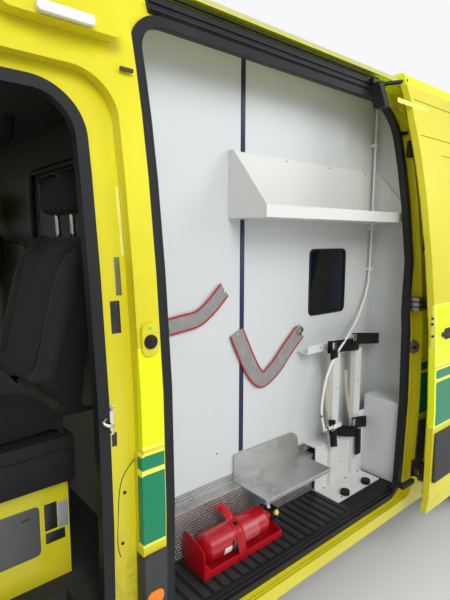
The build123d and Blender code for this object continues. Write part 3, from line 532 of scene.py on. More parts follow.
@dataclass(frozen=True)
class Board(Finish):
    """White lining board with scuffs, smudges and scratches."""

    colour: Colour = (0.6, 0.62, 0.63)
    smudge: Colour = (0.22, 0.22, 0.22)
    wear: float = 1.0

    def build(self) -> Material:
        """Make the material.

        Returns:
            The material.
        """
        graph, place = self.start()
        x, y, z = graph.parts(place)
        cloud = graph.noise(place, 1.4, 4.0)
        patch = graph.noise(place, 5.5, 5.0, 0.65)
        streak = graph.noise(graph.join(x * 26.0, y * 26.0, z * 2.4), 1.0, 4.0, 0.7)
        scratch = graph.noise(graph.join(x * 4.0, y * 4.0, z * 48.0), 1.0, 5.0, 0.75)
        low = z.ramp(0.75, 1.85, 1.0, 0.0)
        scuffs = scratch.ramp(0.64, 0.69) * patch.ramp(0.5, 0.6) * low
        drips = streak.ramp(0.62, 0.74) * low * 0.22
        faint = cloud.ramp(0.35, 0.75) * 0.1
        dirt = (scuffs * 0.75 + drips + faint) * self.wear
        fine = graph.noise(place, 240.0, 3.0)
        return graph.finish(
            Base_Color=graph.mix(dirt.least(1.0), self.colour, self.smudge),
            Roughness=0.34 + 0.25 * dirt + 0.08 * (fine - 0.5),
            Normal=graph.bump(fine, 0.0003, 0.2),
        )


@dataclass(frozen=True)
class ChequerPlate(Finish):
    """Worn aluminium sheet with small raised lozenges on its upright faces."""

    colour: Colour = (0.5, 0.5, 0.49)
    pitch: float = 0.0115
    stain: Colour = (0.27, 0.265, 0.25)
    scratch: Colour = (0.15, 0.15, 0.145)
    ground: Colour = (0.16, 0.16, 0.16)
    raised: Colour = (0.78, 0.78, 0.77)

    def build(self) -> Material:
        """Make the material.

        Returns:
            The material.
        """
        graph, place = self.start()
        x, y, z = graph.parts(place)
        row = ((z / self.pitch) % 2.0) > 1.0
        across = ((x / self.pitch + 0.5 * row) % 1.0) - 0.5
        upright = ((z / self.pitch) % 1.0) - 0.5
        lozenge = (abs(across) * 1.25 + abs(upright) * 1.7).ramp(0.36, 0.6, 1.0, 0.0)
        on_strip = (y < -0.7035) * (z < 0.653)
        on_lip = (z > 0.6585) * (z < 0.6915) * (x.ramp(-0.061, -0.06, 1.0, 0.0).most(x.ramp(0.345, 0.346)))
        chequer = lozenge * on_strip.most(on_lip)
        cloud = graph.noise(place, 7.0, 6.0, 0.7)
        brush = graph.noise(graph.join(x * 14.0, y * 420.0, z * 420.0), 1.0, 3.0)
        stain = cloud.ramp(0.46, 0.68)
        scratch = graph.noise(graph.join(x * 9.0, y * 60.0, z * 60.0), 1.0, 6.0, 0.8).ramp(0.62, 0.67)
        colour = graph.mix(stain * 0.55, self.colour, self.stain)
        colour = graph.mix(scratch * 0.35, colour, self.scratch)
        colour = graph.mix(on_strip.most(on_lip) * 0.45, colour, self.ground)
        colour = graph.mix(chequer * 0.75, colour, self.raised)
        first = graph.bump(brush, 0.0002, 0.25)
        return graph.finish(
            Base_Color=colour, Metallic=0.85, Roughness=0.34 + 0.28 * stain - 0.1 * chequer,
            Normal=graph.bump(chequer, 0.0012, 0.9, first),
        )


@dataclass(frozen=True)
class Cloth(Finish):
    """Woven seat cover or webbing."""

    colour: Colour
    thread: float = 900.0
    rough: float = 0.9
    gloss: float = 0.2

    def build(self) -> Material:
        """Make the material.

        Returns:
            The material.
        """
        graph, place = self.start()
        warp = graph.wave(place, "X", self.thread / 6.3)
        weft = graph.wave(place, "Z", self.thread / 6.3)
        fluff = graph.noise(place, 30.0, 6.0, 0.7)
        weave = warp * 0.5 + weft * 0.5
        pale = tuple(min(1.0, 2.0 * c + 0.008) for c in self.colour)
        colour = graph.mix((weave * 0.35 + fluff.ramp(0.45, 0.8) * 0.4).least(1.0), self.colour, pale)
        return graph.finish(
            Base_Color=colour, Roughness=self.rough, Sheen_Weight=0.06, Specular_IOR_Level=self.gloss,
            Normal=graph.bump(weave, 0.0004, 0.6),
        )


@dataclass(frozen=True)
class Glass(Finish):
    """Tinted glass or a clear lamp cover."""

    colour: Colour
    alpha: float
    rough: float = 0.03

    def build(self) -> Material:
        """Make the material.

        Returns:
            The material.
        """
        graph, place = self.start()
        smear = graph.noise(place, 4.0, 5.0, 0.6)
        return graph.finish(
            Base_Color=self.colour, Alpha=self.alpha + 0.05 * smear, Roughness=self.rough + 0.05 * smear,
            Specular_IOR_Level=0.6,
        )


@dataclass(frozen=True)
class Tyre(Finish):
    """Tyre rubber, a little paler and dustier towards the tread."""

    axle_x: float = 1.8325
    radius: float = 0.356
    rubber: Colour = (0.018, 0.018, 0.019)
    dust: Colour = (0.075, 0.072, 0.068)

    def build(self) -> Material:
        """Make the material.

        Returns:
            The material.
        """
        graph, place = self.start()
        x, _, z = graph.parts(place)
        across, upright = abs(x) - self.axle_x, z - self.radius
        reach = (across * across + upright * upright).root()
        cloud = graph.noise(place, 14.0, 5.0)
        rings = graph.wave(graph.join(reach, 0.0, 0.0), "X", 75.0)
        dusty = (cloud * reach.ramp(0.28, self.radius)).ramp(0.3, 0.7)
        return graph.finish(
            Base_Color=graph.mix(dusty * 0.6, self.rubber, self.dust),
            Roughness=0.72 + 0.15 * dusty, Normal=graph.bump(rings, 0.0005, 0.25),
        )


@dataclass(frozen=True)
class Panes(Finish):
    """Dark locker pane and the clear pane of the bulkhead, told apart by their place."""

    split_x: float = -0.5
    clear: Colour = (0.45, 0.5, 0.48)
    navy: Colour = (0.004, 0.006, 0.016)

    def build(self) -> Material:
        """Make the material.

        Returns:
            The material.
        """
        graph, place = self.start()
        x, _, _ = graph.parts(place)
        dark = x > self.split_x
        smear = graph.noise(place, 5.0, 4.0)
        return graph.finish(
            Base_Color=graph.mix(dark, self.clear, self.navy),
            Alpha=dark.most(0.12 + 0.06 * smear), Roughness=0.04 + 0.05 * smear, Specular_IOR_Level=0.6,
        )


@dataclass(frozen=True)
class Bulkhead(Finish):
    """Bulkhead board: grey on the cab's side and near black above a set height, scuffed white on the load space's."""

    front_x: float = -0.5925
    dark_above_z: float = 1.64
    lower_trim: Colour = (0.3, 0.3, 0.27)
    upper_dark_tone: Colour = (0.05, 0.055, 0.045)
    board: Colour = (0.72, 0.72, 0.7)
    scuff: Colour = (0.35, 0.34, 0.33)

    def build(self) -> Material:
        """Make the material.

        Returns:
            The material.
        """
        graph, place = self.start()
        x, _, z = graph.parts(place)
        cloud = graph.noise(place, 3.0, 4.0)
        fine = graph.noise(place, 300.0, 3.0)
        # The cab's side is drawn near black above the set height and grey below it.
        trim = graph.mix(z > self.dark_above_z, self.lower_trim, self.upper_dark_tone)
        white = graph.mix(cloud.ramp(0.4, 0.8) * 0.2, self.board, self.scuff)
        return graph.finish(
            Base_Color=graph.mix(x < self.front_x, white, trim), Roughness=0.45 + 0.1 * (fine - 0.5),
            Normal=graph.bump(fine, 0.0003, 0.3),
        )


@dataclass(frozen=True)
class TailLens(Finish):
    """Tail lamp in bands: red, clear reversing lamp, amber and red."""

    red: Colour = (0.42, 0.006, 0.008)
    clear: Colour = (0.75, 0.75, 0.74)
    amber: Colour = (0.75, 0.2, 0.01)
    bands: tuple[float, float, float] = (1.045, 1.125, 1.215)

    def build(self) -> Material:
        """Make the material.

        Returns:
            The material.
        """
        graph, place = self.start()
        _, _, z = graph.parts(place)
        colour = graph.mix(z > self.bands[0], self.red, self.clear)
        colour = graph.mix(z > self.bands[1], colour, self.amber)
        colour = graph.mix(z > self.bands[2], colour, self.red)
        flutes = graph.wave(place, "Z", 28.0)
        return graph.finish(
            Base_Color=colour, Roughness=0.12, Coat_Weight=0.5, Normal=graph.bump(flutes, 0.0008, 0.4),
        )


@dataclass(frozen=True)
class Tank(Finish):
    """Gloss red tank with a blank white sticker."""

    red: Colour = (0.4, 0.004, 0.012)
    sticker: tuple[Flat, Flat] = ((-0.262, 0.512), (-0.226, 0.541))
    rubbed: tuple[Flat, Flat] = ((-0.16, 0.52), (-0.085, 0.575))
    front_y: float = -0.8
    shade: Colour = (0.35, 0.004, 0.01)
    pink: Colour = (0.65, 0.25, 0.25)
    white: Colour = (0.8, 0.8, 0.78)

    def build(self) -> Material:
        """Make the material.

        Returns:
            The material.
        """
        graph, place = self.start()
        x, y, z = graph.parts(place)
        mask = graph.window(x, z, *self.sticker, 0.004, 0.0004) * (y < self.front_y)
        faint = graph.window(x, z, *self.rubbed, 0.003, 0.0004) * (y < self.front_y)
        cloud = graph.noise(place, 18.0, 4.0)
        colour = graph.mix(cloud.ramp(0.5, 0.8) * 0.3, self.red, self.shade)
        colour = graph.mix(faint * 0.25, colour, self.pink)
        return graph.finish(
            Base_Color=graph.mix(mask, colour, self.white), Roughness=0.22 + 0.1 * cloud, Coat_Weight=0.4,
            Coat_Roughness=0.1,
        )


@dataclass(frozen=True)
class LightBarLens(Finish):
    """Blue lenses at the light bar's ends and a white middle, with upright flutes."""

    middle: float = 0.205
    foot_z: float = 2.6
    blue: Colour = (0.004, 0.05, 0.52)
    white: Colour = (0.72, 0.74, 0.76)
    foot: Colour = (0.05, 0.05, 0.055)

    def build(self) -> Material:
        """Make the material.

        Returns:
            The material.
        """
        graph, place = self.start()
        _, y, z = graph.parts(place)
        colour = graph.mix(abs(y) < self.middle, self.blue, self.white)
        colour = graph.mix(z < self.foot_z, colour, self.foot)
        flutes = graph.wave(place, "Y", 22.0)
        return graph.finish(Base_Color=colour, Roughness=0.14, Coat_Weight=0.5, Normal=graph.bump(flutes, 0.001, 0.4))


class Finishes:
    """All finishes by name, each made once."""

    def __init__(self) -> None:
        """Make every finish."""
        cab_pivot = (-1.893, -0.998, 0.0)
        made: dict[str, Finish] = {
            "body": Livery("body_paint"),
            "side_body": Livery("side_paint", bare=(-0.615, 0.83), block_start=-0.701),
            "plain_body": Livery("plain_body_paint", blocks=False),
            "cab_door_left": Livery("cab_door_left_paint", turn=70.0, pivot=cab_pivot),
            "slide_door_left": Livery(
                "sliding_door_left_paint", turn=1.5, pivot=(0.0, -0.9965, 1.3), shift=(1.326, -0.113, 0.0),
                about="X_AXIS", block_start=-0.6, strip=((-0.62, -0.6015), (0.835, 1.19)), arms=(
                    ((0.59, -1.2, 0.0), (0.7195, -0.7, 2.2)), ((0.59, -0.925, 2.1), (0.7195, -0.7, 2.5)),
                    ((1.95, -1.07, 1.34), (2.01, -0.998, 1.386)),
                    ((0.76, -1.05, 0.532), (1.01, -0.7, 0.566)),
                ),
            ),
            "rear_doors": Livery("rear_door_paint", across=Axis.Y, block_start=0.0, block_length=0.43),
            "underbody": Plastic("underbody_coating", (0.022, 0.022, 0.022), 0.8, 160.0, 0.001, 0.5),
            "bumper": Plastic("grained_bumper", (0.035, 0.036, 0.038), 0.62, 700.0, 0.0005, 0.35),
            "cab_plastic": Plastic("cab_plastic", (0.012, 0.013, 0.013), 0.6, 800.0, 0.0004, 0.2, 0.25),
            "seal": Plastic("seal_rubber", (0.013, 0.014, 0.016), 0.5, 300.0, 0.0002, 0.3, 0.25),
            "mat": Plastic("mat_rubber", (0.008, 0.008, 0.009), 0.55, 420.0, 0.0004, 0.35, 0.25),
            "red": Plastic("red_enamel", (0.4, 0.004, 0.01), 0.25, 300.0, 0.0001, 0.08, 0.35),
            "white_steel": Board("white_enamel", (0.68, 0.68, 0.66), (0.36, 0.34, 0.31), 0.35),
            "board": Board("lining_board"),
            "bulkhead": Bulkhead("bulkhead_board"),
            "chequer": ChequerPlate("chequer_sheet"),
            "cloth": Cloth("seat_cloth", (0.008, 0.008, 0.009)),
            "webbing": Cloth("grey_webbing", (0.22, 0.215, 0.21), 1500.0),
            "black_webbing": Cloth("black_webbing", (0.003, 0.003, 0.0035), 1500.0, gloss=0.1),
            "hose": Plastic("hose_plastic", (0.74, 0.74, 0.7), 0.4, 200.0, 0.0001, 0.15),
            "chrome": Metal("chrome_plate", (0.75, 0.75, 0.76), 0.12, wear=0.2),
            "cast": Metal("cast_metal", (0.2, 0.2, 0.2), 0.55),
            "exhaust": Metal("exhaust_metal", (0.3, 0.27, 0.24), 0.45, Axis.X),
            "rim": Metal("wheel_lacquer", (0.5, 0.51, 0.53), 0.38, wear=0.25),
            "tank": Plastic("tank_plastic", (0.02, 0.02, 0.02), 0.6),
            "clear": Glass("clear_glass", (0.55, 0.62, 0.6), 0.28),
            "frosted": Glass("frosted_glass", (0.1, 0.115, 0.115), 0.86, 0.22),
            "inner_panes": Panes("inner_panes"),
            "tail_lens": TailLens("tail_lens"),
            "tank_red": Tank("extinguisher_paint"),
            "bar_lens": LightBarLens("light_bar_lens"),
            "tyre": Tyre("tyre_rubber"),
            "black_gloss": Plastic("black_gloss_plastic", (0.008, 0.008, 0.009), 0.32, 400.0, 0.0001, 0.1, 0.3),
            "mat_rib": Plastic("mat_rib_rubber", (0.02, 0.021, 0.023), 0.45, 420.0, 0.0003, 0.4, 0.35),
            "dark_steel": Metal("dark_steel", (0.16, 0.16, 0.165), 0.35),
            "pale_tube": Glass("pale_tube", (0.62, 0.55, 0.38), 0.42, 0.15),
            "strap_edge": Cloth("strap_edge", (0.3, 0.035, 0.035), 1500.0),
            "label_grey": Plastic("grey_label", (0.32, 0.34, 0.38), 0.35, 300.0, 0.00005, 0.3),
            "label_pale": Plastic("pale_label", (0.78, 0.76, 0.2), 0.3, 300.0, 0.00005, 0.2),
            "label_mixed": Plastic("mixed_label", (0.13, 0.13, 0.07), 0.4, 300.0, 0.00005, 0.9),
            "catch_steel": Metal("catch_steel", (0.36, 0.35, 0.32), 0.3),
            "label_dark": Plastic("dark_label", (0.02, 0.02, 0.022), 0.3, 300.0, 0.00005, 0.5),
            "label_slate": Plastic("slate_panel", (0.1, 0.105, 0.11), 0.4, 300.0, 0.00005, 0.3),
            "green_led": Plastic("green_led", (0.02, 0.75, 0.12), 0.2, 60.0, 0.00002, 0.0),
            "orange_lamp": Plastic("orange_lamp", (0.9, 0.22, 0.01), 0.18, 90.0, 0.0002, 0.05),
            "groove": Plastic("joint_groove", (0.055, 0.045, 0.008), 0.7, 300.0, 0.0001, 0.2),
            "lamp_white": Plastic("white_lamp", (0.75, 0.77, 0.78), 0.15, 90.0, 0.0002, 0.05),
            "mirror_glass": Metal("mirror_glass", (0.8, 0.82, 0.84), 0.06, wear=0.05),
            "gauge_yellow": Plastic("gauge_yellow", (0.55, 0.62, 0.12), 0.3, 120.0, 0.0001, 0.1),
            "blank_plate": Plastic("blank_plate", (0.72, 0.72, 0.68), 0.3, 500.0, 0.0001, 0.2),
            "headliner": Cloth("headliner_cloth", (0.02, 0.02, 0.018), 1200.0),
            "cloth_plain": Cloth("plain_seat_cloth", (0.016, 0.017, 0.016), 700.0),
            "lamp": Glass("lamp_cover", (0.8, 0.83, 0.85), 0.42),
            "red_lamp": Glass("red_lamp", (0.42, 0.008, 0.01), 0.93, 0.12),
            "navy": Plastic("navy_strip", (0.01, 0.011, 0.055), 0.4, 300.0, 0.0001, 0.1),
        }
        self.made: dict[str, Material] = {key: finish.build() for key, finish in made.items()}

    def __getitem__(self, key: str) -> Material:
        """The finish of that name."""
        return self.made[key]


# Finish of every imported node
NODE_FINISH: dict[str, str] = {
    "side_left": "side_body", "side_right": "side_body", "roof": "body", "cowl": "plain_body", "wings": "body",
    "bonnet": "plain_body", "cab_door_left": "cab_door_left", "cab_door_right": "body",
    "sliding_door_left": "slide_door_left", "sliding_door_right": "body",
    "rear_door_left": "rear_doors", "rear_door_right": "rear_doors", "seat_bases": "plain_body",
    "lamp_pods": "plain_body", "floor_pan": "underbody", "rear_axle": "underbody",
    "windscreen": "clear", "cab_glass_left": "clear", "cab_glass_right": "clear",
    "rear_glass_left": "frosted", "rear_glass_right": "frosted", "inner_windows": "inner_panes",
    "bumper_front": "bumper", "bumper_rear": "bumper", "grille": "bumper", "side_mouldings": "bumper",
    "mirror_left": "bumper", "mirror_right": "bumper", "door_rails": "seal", "headlamps": "lamp",
    "tail_lamps": "tail_lens", "light_bar": "bar_lens", "dashboard": "cab_plastic",
    "steering_wheel": "cab_plastic", "seat_driver": "cloth", "seat_passenger": "cloth",
    "bulkhead": "bulkhead", "locker_wall": "board", "shelf": "white_steel", "cylinder_rack": "white_steel",
    "riser_tray": "chequer", "step_mat": "mat", "door_seals": "seal", "straps": "webbing",
    "extinguisher": "tank_red", "extinguisher_cradle": "red", "hose": "hose", "engine": "cast",
    "knuckle_left": "cast", "knuckle_right": "cast", "fuel_tank": "tank", "exhaust": "exhaust",
    "rim_front_left": "rim", "rim_front_right": "rim", "rim_rear_left": "rim", "rim_rear_right": "rim",
}


# Modelling bench


def turned(degrees: float, pivot: Point, about: str = "Z") -> Matrix:
    """Turn about a line through a point."""
    at = Matrix.Translation(pivot)
    return at @ Matrix.Rotation(math.radians(degrees), 4, about) @ at.inverted()


def rectangle(low: Flat, high: Flat) -> list[Flat]:
    """Corners of an upright rectangle."""
    return [low, (high[0], low[1]), high, (low[0], high[1])]


def rounded(corners: list[Flat], radius: float, steps: int = 5) -> list[Flat]:
    """Outline with its corners rounded.

    Args:
        corners: The sharp corners in order.
        radius: Distance from each corner at which the curve begins.
        steps: Points on each curve, less one.

    Returns:
        The points of the outline.
    """
    points: list[Flat] = []
    for number, corner in enumerate(corners):
        here = Vector(corner)
        before, after = Vector(corners[number - 1]), Vector(corners[(number + 1) % len(corners)])
        start = here + (before - here).normalized() * radius
        end = here + (after - here).normalized() * radius
        for step in range(steps + 1):
            t = step / steps
            point = start * (1 - t) ** 2 + here * (2 * t * (1 - t)) + end * t ** 2
            points.append((point.x, point.y))
    return points


# Directions of a flat outline's width, height and thickness for a plate that faces along each axis
PLATE_TURN: dict[Axis, tuple[Point, Point, Point]] = {
    Axis.X: ((0, 1, 0), (0, 0, 1), (1, 0, 0)),
    Axis.Y: ((1, 0, 0), (0, 0, 1), (0, -1, 0)),
    Axis.Z: ((1, 0, 0), (0, 1, 0), (0, 0, 1)),
}


class Bench:
    """Modelling steps that end with a named and dressed piece riding on a body."""

    def __init__(self, finishes: Finishes) -> None:
        """Start on the vehicle's fixed body.

        Args:
            finishes: The finishes by name.
        """
        self.finishes = finishes
        self.body = "root"
        self.move = Matrix.Identity(4)

    def work_on(self, body: str = "root", move: Matrix | None = None) -> None:
        """Choose the body that the next pieces ride on, and how they are moved once modelled."""
        self.body = body
        self.move = Matrix.Identity(4) if move is None else move

    def take(self, piece: Piece | None) -> None:
        """Select one piece alone, or none.

        Args:
            piece: The piece, or none.
        """
        bpy.ops.object.select_all(action="DESELECT")
        if piece is not None:
            piece.select_set(True)
        bpy.context.view_layer.objects.active = piece

    def modify(self, piece: Piece, kind: str, **settings: Any) -> None:
        """Add a modifier and apply it.

        Args:
            piece: The piece.
            kind: Blender's type name of the modifier.
            **settings: Its properties.
        """
        self.take(piece)
        made = piece.modifiers.new(kind.lower(), kind)
        for key, value in settings.items():
            setattr(made, key, value)
        bpy.ops.object.modifier_apply(modifier=made.name)

    def soften(self, piece: Piece, width: float, segments: int = 2) -> None:
        """Round the sharp edges.

        Args:
            piece: The piece.
            width: Width of the rounding; at 0 there is none.
            segments: Facets across it.
        """
        if width:
            self.modify(
                piece, "BEVEL", width=width, segments=segments, limit_method="ANGLE", angle_limit=math.radians(40.0),
            )

    def settle(self, piece: Piece, name: str, finish: str, smooth: float = 35.0) -> Piece:
        """Bring a piece's place into its mesh, name and dress it and let it ride.

        Args:
            piece: The new piece.
            name: Its name.
            finish: Its finish.
            smooth: Angle in degrees up to which edges are shaded smooth.

        Returns:
            The finished piece.
        """
        self.take(piece)
        piece.matrix_basis = self.move @ piece.matrix_basis
        bpy.ops.object.transform_apply(location=True, rotation=True, scale=True)
        bpy.ops.object.shade_smooth_by_angle(angle=math.radians(smooth))
        piece.name = piece.data.name = name
        piece.data.materials.clear()
        piece.data.materials.append(self.finishes[finish])
        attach(piece, self.body)
        log.info("made %s", name)
        return piece

    def slab(
        self, name: str, finish: str, low: Point, high: Point, bevel: float = 0.002, tilt: Point = (0, 0, 0),
    ) -> Piece:
        """Block between two corners with rounded edges, tilted about its middle by degrees.

        Args:
            name: Name of the piece.
            finish: Its finish.
            low: Lowest corner.
            high: Highest corner.
            bevel: Rounding of its edges.
            tilt: Turns about its middle.

        Returns:
            The finished piece.
        """
        self.take(None)
        middle = (Vector(low) + Vector(high)) / 2
        bpy.ops.mesh.primitive_cube_add(size=1.0, location=middle)
        piece = bpy.context.object
        piece.scale = Vector(high) - Vector(low)
        bpy.ops.object.transform_apply(location=False, rotation=False, scale=True)
        self.soften(piece, bevel)
        piece.rotation_euler = [math.radians(angle) for angle in tilt]
        return self.settle(piece, name, finish)

    def rod(self, name: str, finish: str, start: Point, end: Point, radius: float, top: float | None = None,
            bevel: float = 0.0008, sides: int = 24) -> Piece:
        """Round bar between two points, tapered if a top radius is given.

        Args:
            name: Name of the piece.
            finish: Its finish.
            start: Middle of its foot.
            end: Middle of its top.
            radius: Radius of the foot.
            top: Radius of the top, if another.
            bevel: Rounding of its edges.
            sides: Facets round it.

        Returns:
            The finished piece.
        """
        self.take(None)
        first, last = Vector(start), Vector(end)
        turn = (last - first).to_track_quat("Z", "Y").to_euler()
        bpy.ops.mesh.primitive_cone_add(
            vertices=sides, radius1=radius, radius2=radius if top is None else top,
            depth=(last - first).length, location=(first + last) / 2, rotation=turn,
        )
        piece = bpy.context.object
        self.soften(piece, bevel)
        return self.settle(piece, name, finish)

    def drawn(self, name: str, data: bpy.types.Curve) -> Piece:
        """Turn a new curve into a mesh.

        Args:
            name: Name of the piece.
            data: The curve.

        Returns:
            The piece.
        """
        piece = bpy.data.objects.new(name, data)
        bpy.context.scene.collection.objects.link(piece)
        self.take(piece)
        bpy.ops.object.convert(target="MESH")
        return bpy.context.object

    def plate(
        self, name: str, finish: str, outline: list[Flat], facing: Axis, base: float, outer: float,
        bevel: float = 0.0004,
    ) -> Piece:
        """Flat plate of any outline.

        Args:
            name: Name of the piece.
            finish: Its finish.
            outline: Points as width and height: y, z facing X; x, z facing Y; x, y facing Z.
            facing: Axis that the plate faces along.
            base: Where it touches what carries it, on that axis.
            outer: Where its outer face lies.
            bevel: Rounding of its edges.

        Returns:
            The finished piece.
        """
        data = bpy.data.curves.new(name, "CURVE")
        data.dimensions, data.fill_mode = "2D", "BOTH"
        data.extrude = abs(outer - base) / 2 - bevel
        data.bevel_depth, data.offset, data.bevel_resolution = bevel, -bevel, 1
        spline = data.splines.new("POLY")
        spline.points.add(len(outline) - 1)
        for point, (across, up) in zip(spline.points, outline):
            point.co = (across, up, 0.0, 1.0)
        spline.use_cyclic_u = True
        piece = self.drawn(name, data)
        columns = PLATE_TURN[facing]
        turn = Matrix([[column[row] for column in columns] for row in range(3)]).to_4x4()
        turn.translation[facing.value] = (base + outer) / 2
        piece.matrix_basis = turn
        self.modify(piece, "WELD", merge_threshold=0.00002)
        return self.settle(piece, name, finish)

    def tube(self, name: str, finish: str, points: list[Point], radius: float, closed: bool = False) -> Piece:
        """Round bar along a smooth line."""
        piece = self.drawn(name, self.line(name, points, radius, closed))
        return self.settle(piece, name, finish, 60.0)

    @staticmethod
    def line(name: str, points: list[Point], radius: float, closed: bool = False) -> bpy.types.Curve:
        """Curve with a round section.

        Args:
            name: Name of the curve.
            points: Points that it is drawn along.
            radius: Half its thickness.
            closed: Whether its ends meet.

        Returns:
            The curve.
        """
        data = bpy.data.curves.new(name, "CURVE")
        data.dimensions, data.bevel_depth, data.bevel_resolution = "3D", radius, 3
        data.resolution_u, data.use_fill_caps = 6, True
        spline = data.splines.new("NURBS")
        spline.points.add(len(points) - 1)
        for point, at in zip(spline.points, points):
            point.co = (*at, 1.0)
        spline.order_u = 3
        spline.use_endpoint_u = not closed
        spline.use_cyclic_u = closed
        return data

    def ribbon(self, name: str, finish: str, points: list[Point], across: Point, width: float, thick: float) -> Piece:
        """Flat band drawn out of a short strip, one length at a time.

        Args:
            name: Name of the piece.
            finish: Its finish.
            points: Its middle line.
            across: Direction of its width.
            width: Its width.
            thick: Its thickness.

        Returns:
            The finished piece.
        """
        self.take(None)
        bpy.ops.mesh.primitive_plane_add(size=1.0)
        piece = bpy.context.object
        half = Vector(across).normalized() * (width / 2)
        line = [Vector(point) for point in points]
        corners = (line[0] - half, line[0] + half, line[1] - half, line[1] + half)
        for vertex, corner in zip(piece.data.vertices, corners):
            vertex.co = corner
        for edge in piece.data.edges:
            edge.select = set(edge.vertices) == {2, 3}
        for face in piece.data.polygons:
            face.select = False
        for vertex in piece.data.vertices:
            vertex.select = vertex.index > 1
        bpy.ops.object.mode_set(mode="EDIT")
        bpy.ops.mesh.select_mode(type="EDGE")
        for before, after in zip(line[1:], line[2:]):
            bpy.ops.mesh.extrude_region_move(TRANSFORM_OT_translate={"value": after - before})
        bpy.ops.object.mode_set(mode="OBJECT")
        self.modify(piece, "SUBSURF", levels=1, render_levels=1, boundary_smooth="PRESERVE_CORNERS")
        self.modify(piece, "SOLIDIFY", thickness=thick, offset=0.0)
        self.soften(piece, thick * 0.3, 1)
        return self.settle(piece, name, finish, 50.0)

    def band(self, name: str, finish: str, points: list[Point], width: float, thick: float) -> Piece:
        """Flat band that lies on an upright wall and turns within it.

        Args:
            name: Name of the piece.
            finish: Its finish.
            points: Points of its middle line.
            width: Its width.
            thick: Its thickness.

        Returns:
            The finished piece.
        """
        data = self.line(name, [(x, z, -y) for x, y, z in points], thick / 2)
        data.twist_mode, data.extrude = "Z_UP", width / 2
        for point in data.splines[0].points:
            point.tilt = math.pi / 2
        piece = self.drawn(name, data)
        piece.matrix_basis = Matrix(((1, 0, 0, 0), (0, 0, -1, 0), (0, 1, 0, 0), (0, 0, 0, 1)))
        return self.settle(piece, name, finish, 50.0)

    def lathe(self, name: str, finish: str, profile: list[Flat], at: Point, toward: Point, steps: int = 40) -> Piece:
        """Round form spun from a profile of radius and distance along its axis.

        Args:
            name: Name of the piece.
            finish: Its finish.
            profile: Points from one end to the other.
            at: Where the axis starts.
            toward: Direction of the axis.
            steps: Facets round the axis.

        Returns:
            The finished piece.
        """
        data = bpy.data.curves.new(name, "CURVE")
        data.dimensions = "3D"
        spline = data.splines.new("POLY")
        spline.points.add(len(profile) - 1)
        for point, (radius, along) in zip(spline.points, profile):
            point.co = (radius, 0.0, along, 1.0)
        piece = self.drawn(name, data)
        bpy.ops.object.mode_set(mode="EDIT")
        bpy.ops.mesh.select_all(action="SELECT")
        bpy.ops.mesh.spin(steps=steps, angle=math.tau, center=(0, 0, 0), axis=(0, 0, 1))
        bpy.ops.mesh.select_all(action="SELECT")
        bpy.ops.mesh.remove_doubles(threshold=0.00001)
        bpy.ops.mesh.normals_make_consistent(inside=False)
        bpy.ops.object.mode_set(mode="OBJECT")
        turn = Vector(toward).to_track_quat("Z", "X").to_matrix().to_4x4()
        piece.matrix_basis = Matrix.Translation(at) @ turn
        return self.settle(piece, name, finish)

    def copy(self, piece: Piece, name: str, move: Matrix, body: str | None = None) -> Piece:
        """Copy of a finished piece with its own mesh, moved or mirrored.

        Args:
            piece: The finished piece.
            name: Name of the copy.
            move: How it is moved or mirrored.
            body: Body that the copy rides on, if another.

        Returns:
            The copy.
        """
        twin = piece.copy()
        twin.data = piece.data.copy()
        twin.name = twin.data.name = name
        bpy.context.scene.collection.objects.link(twin)
        twin.data.transform(move)
        if move.determinant() < 0:
            self.take(twin)
            bpy.ops.object.mode_set(mode="EDIT")
            bpy.ops.mesh.select_all(action="SELECT")
            bpy.ops.mesh.normals_make_consistent(inside=False)
            bpy.ops.object.mode_set(mode="OBJECT")
        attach(twin, body or self.body)
        return twin

    def repeat(self, piece: Piece, shifts: list[Point]) -> None:
        """Copies of a piece at further places, named by number."""
        for number, shift in enumerate(shifts, 2):
            self.copy(piece, f"{piece.name}_{number}", Matrix.Translation(shift))

    def screws(self, name: str, finish: str, places: list[Point], toward: Point, radius: float = 0.004) -> None:
        """Domed screw heads that face one way.

        Args:
            name: Name of the first; the others are numbered.
            finish: Its finish.
            places: Middle of every head.
            toward: Direction that they face.
            radius: Radius of the heads.
        """
        profile = [
            (0.0, 0.45 * radius), (0.35 * radius, 0.45 * radius), (0.8 * radius, 0.3 * radius), (radius, 0.0),
            (radius, -0.2 * radius), (0.0, -0.2 * radius),
        ]
        first = self.lathe(name, finish, profile, places[0], toward, 14)
        self.repeat(first, [tuple(Vector(place) - Vector(places[0])) for place in places[1:]])


MIRROR = Matrix.Scale(-1.0, 4, (0.0, 1.0, 0.0))
CAB_DOOR_OPEN = turned(-70.0, (-1.893, -0.998, 0.0))
SLIDE_DOOR_OPEN = turned(-1.5, (0.0, -0.9965, 1.3), "X") @ Matrix.Translation((1.326, -0.113, 0.0))


def screen_point(y: float, z: float, proud: float = 0.0) -> Point:
    """Point on the curved windscreen, or a little in front of it."""
    reach = 2.6 - (z - 1.29) * 0.7547 + 0.8 * proud
    return (0.4 - math.sqrt(reach * reach - y * y), y, z + 0.6 * proud)


# Sub-assemblies


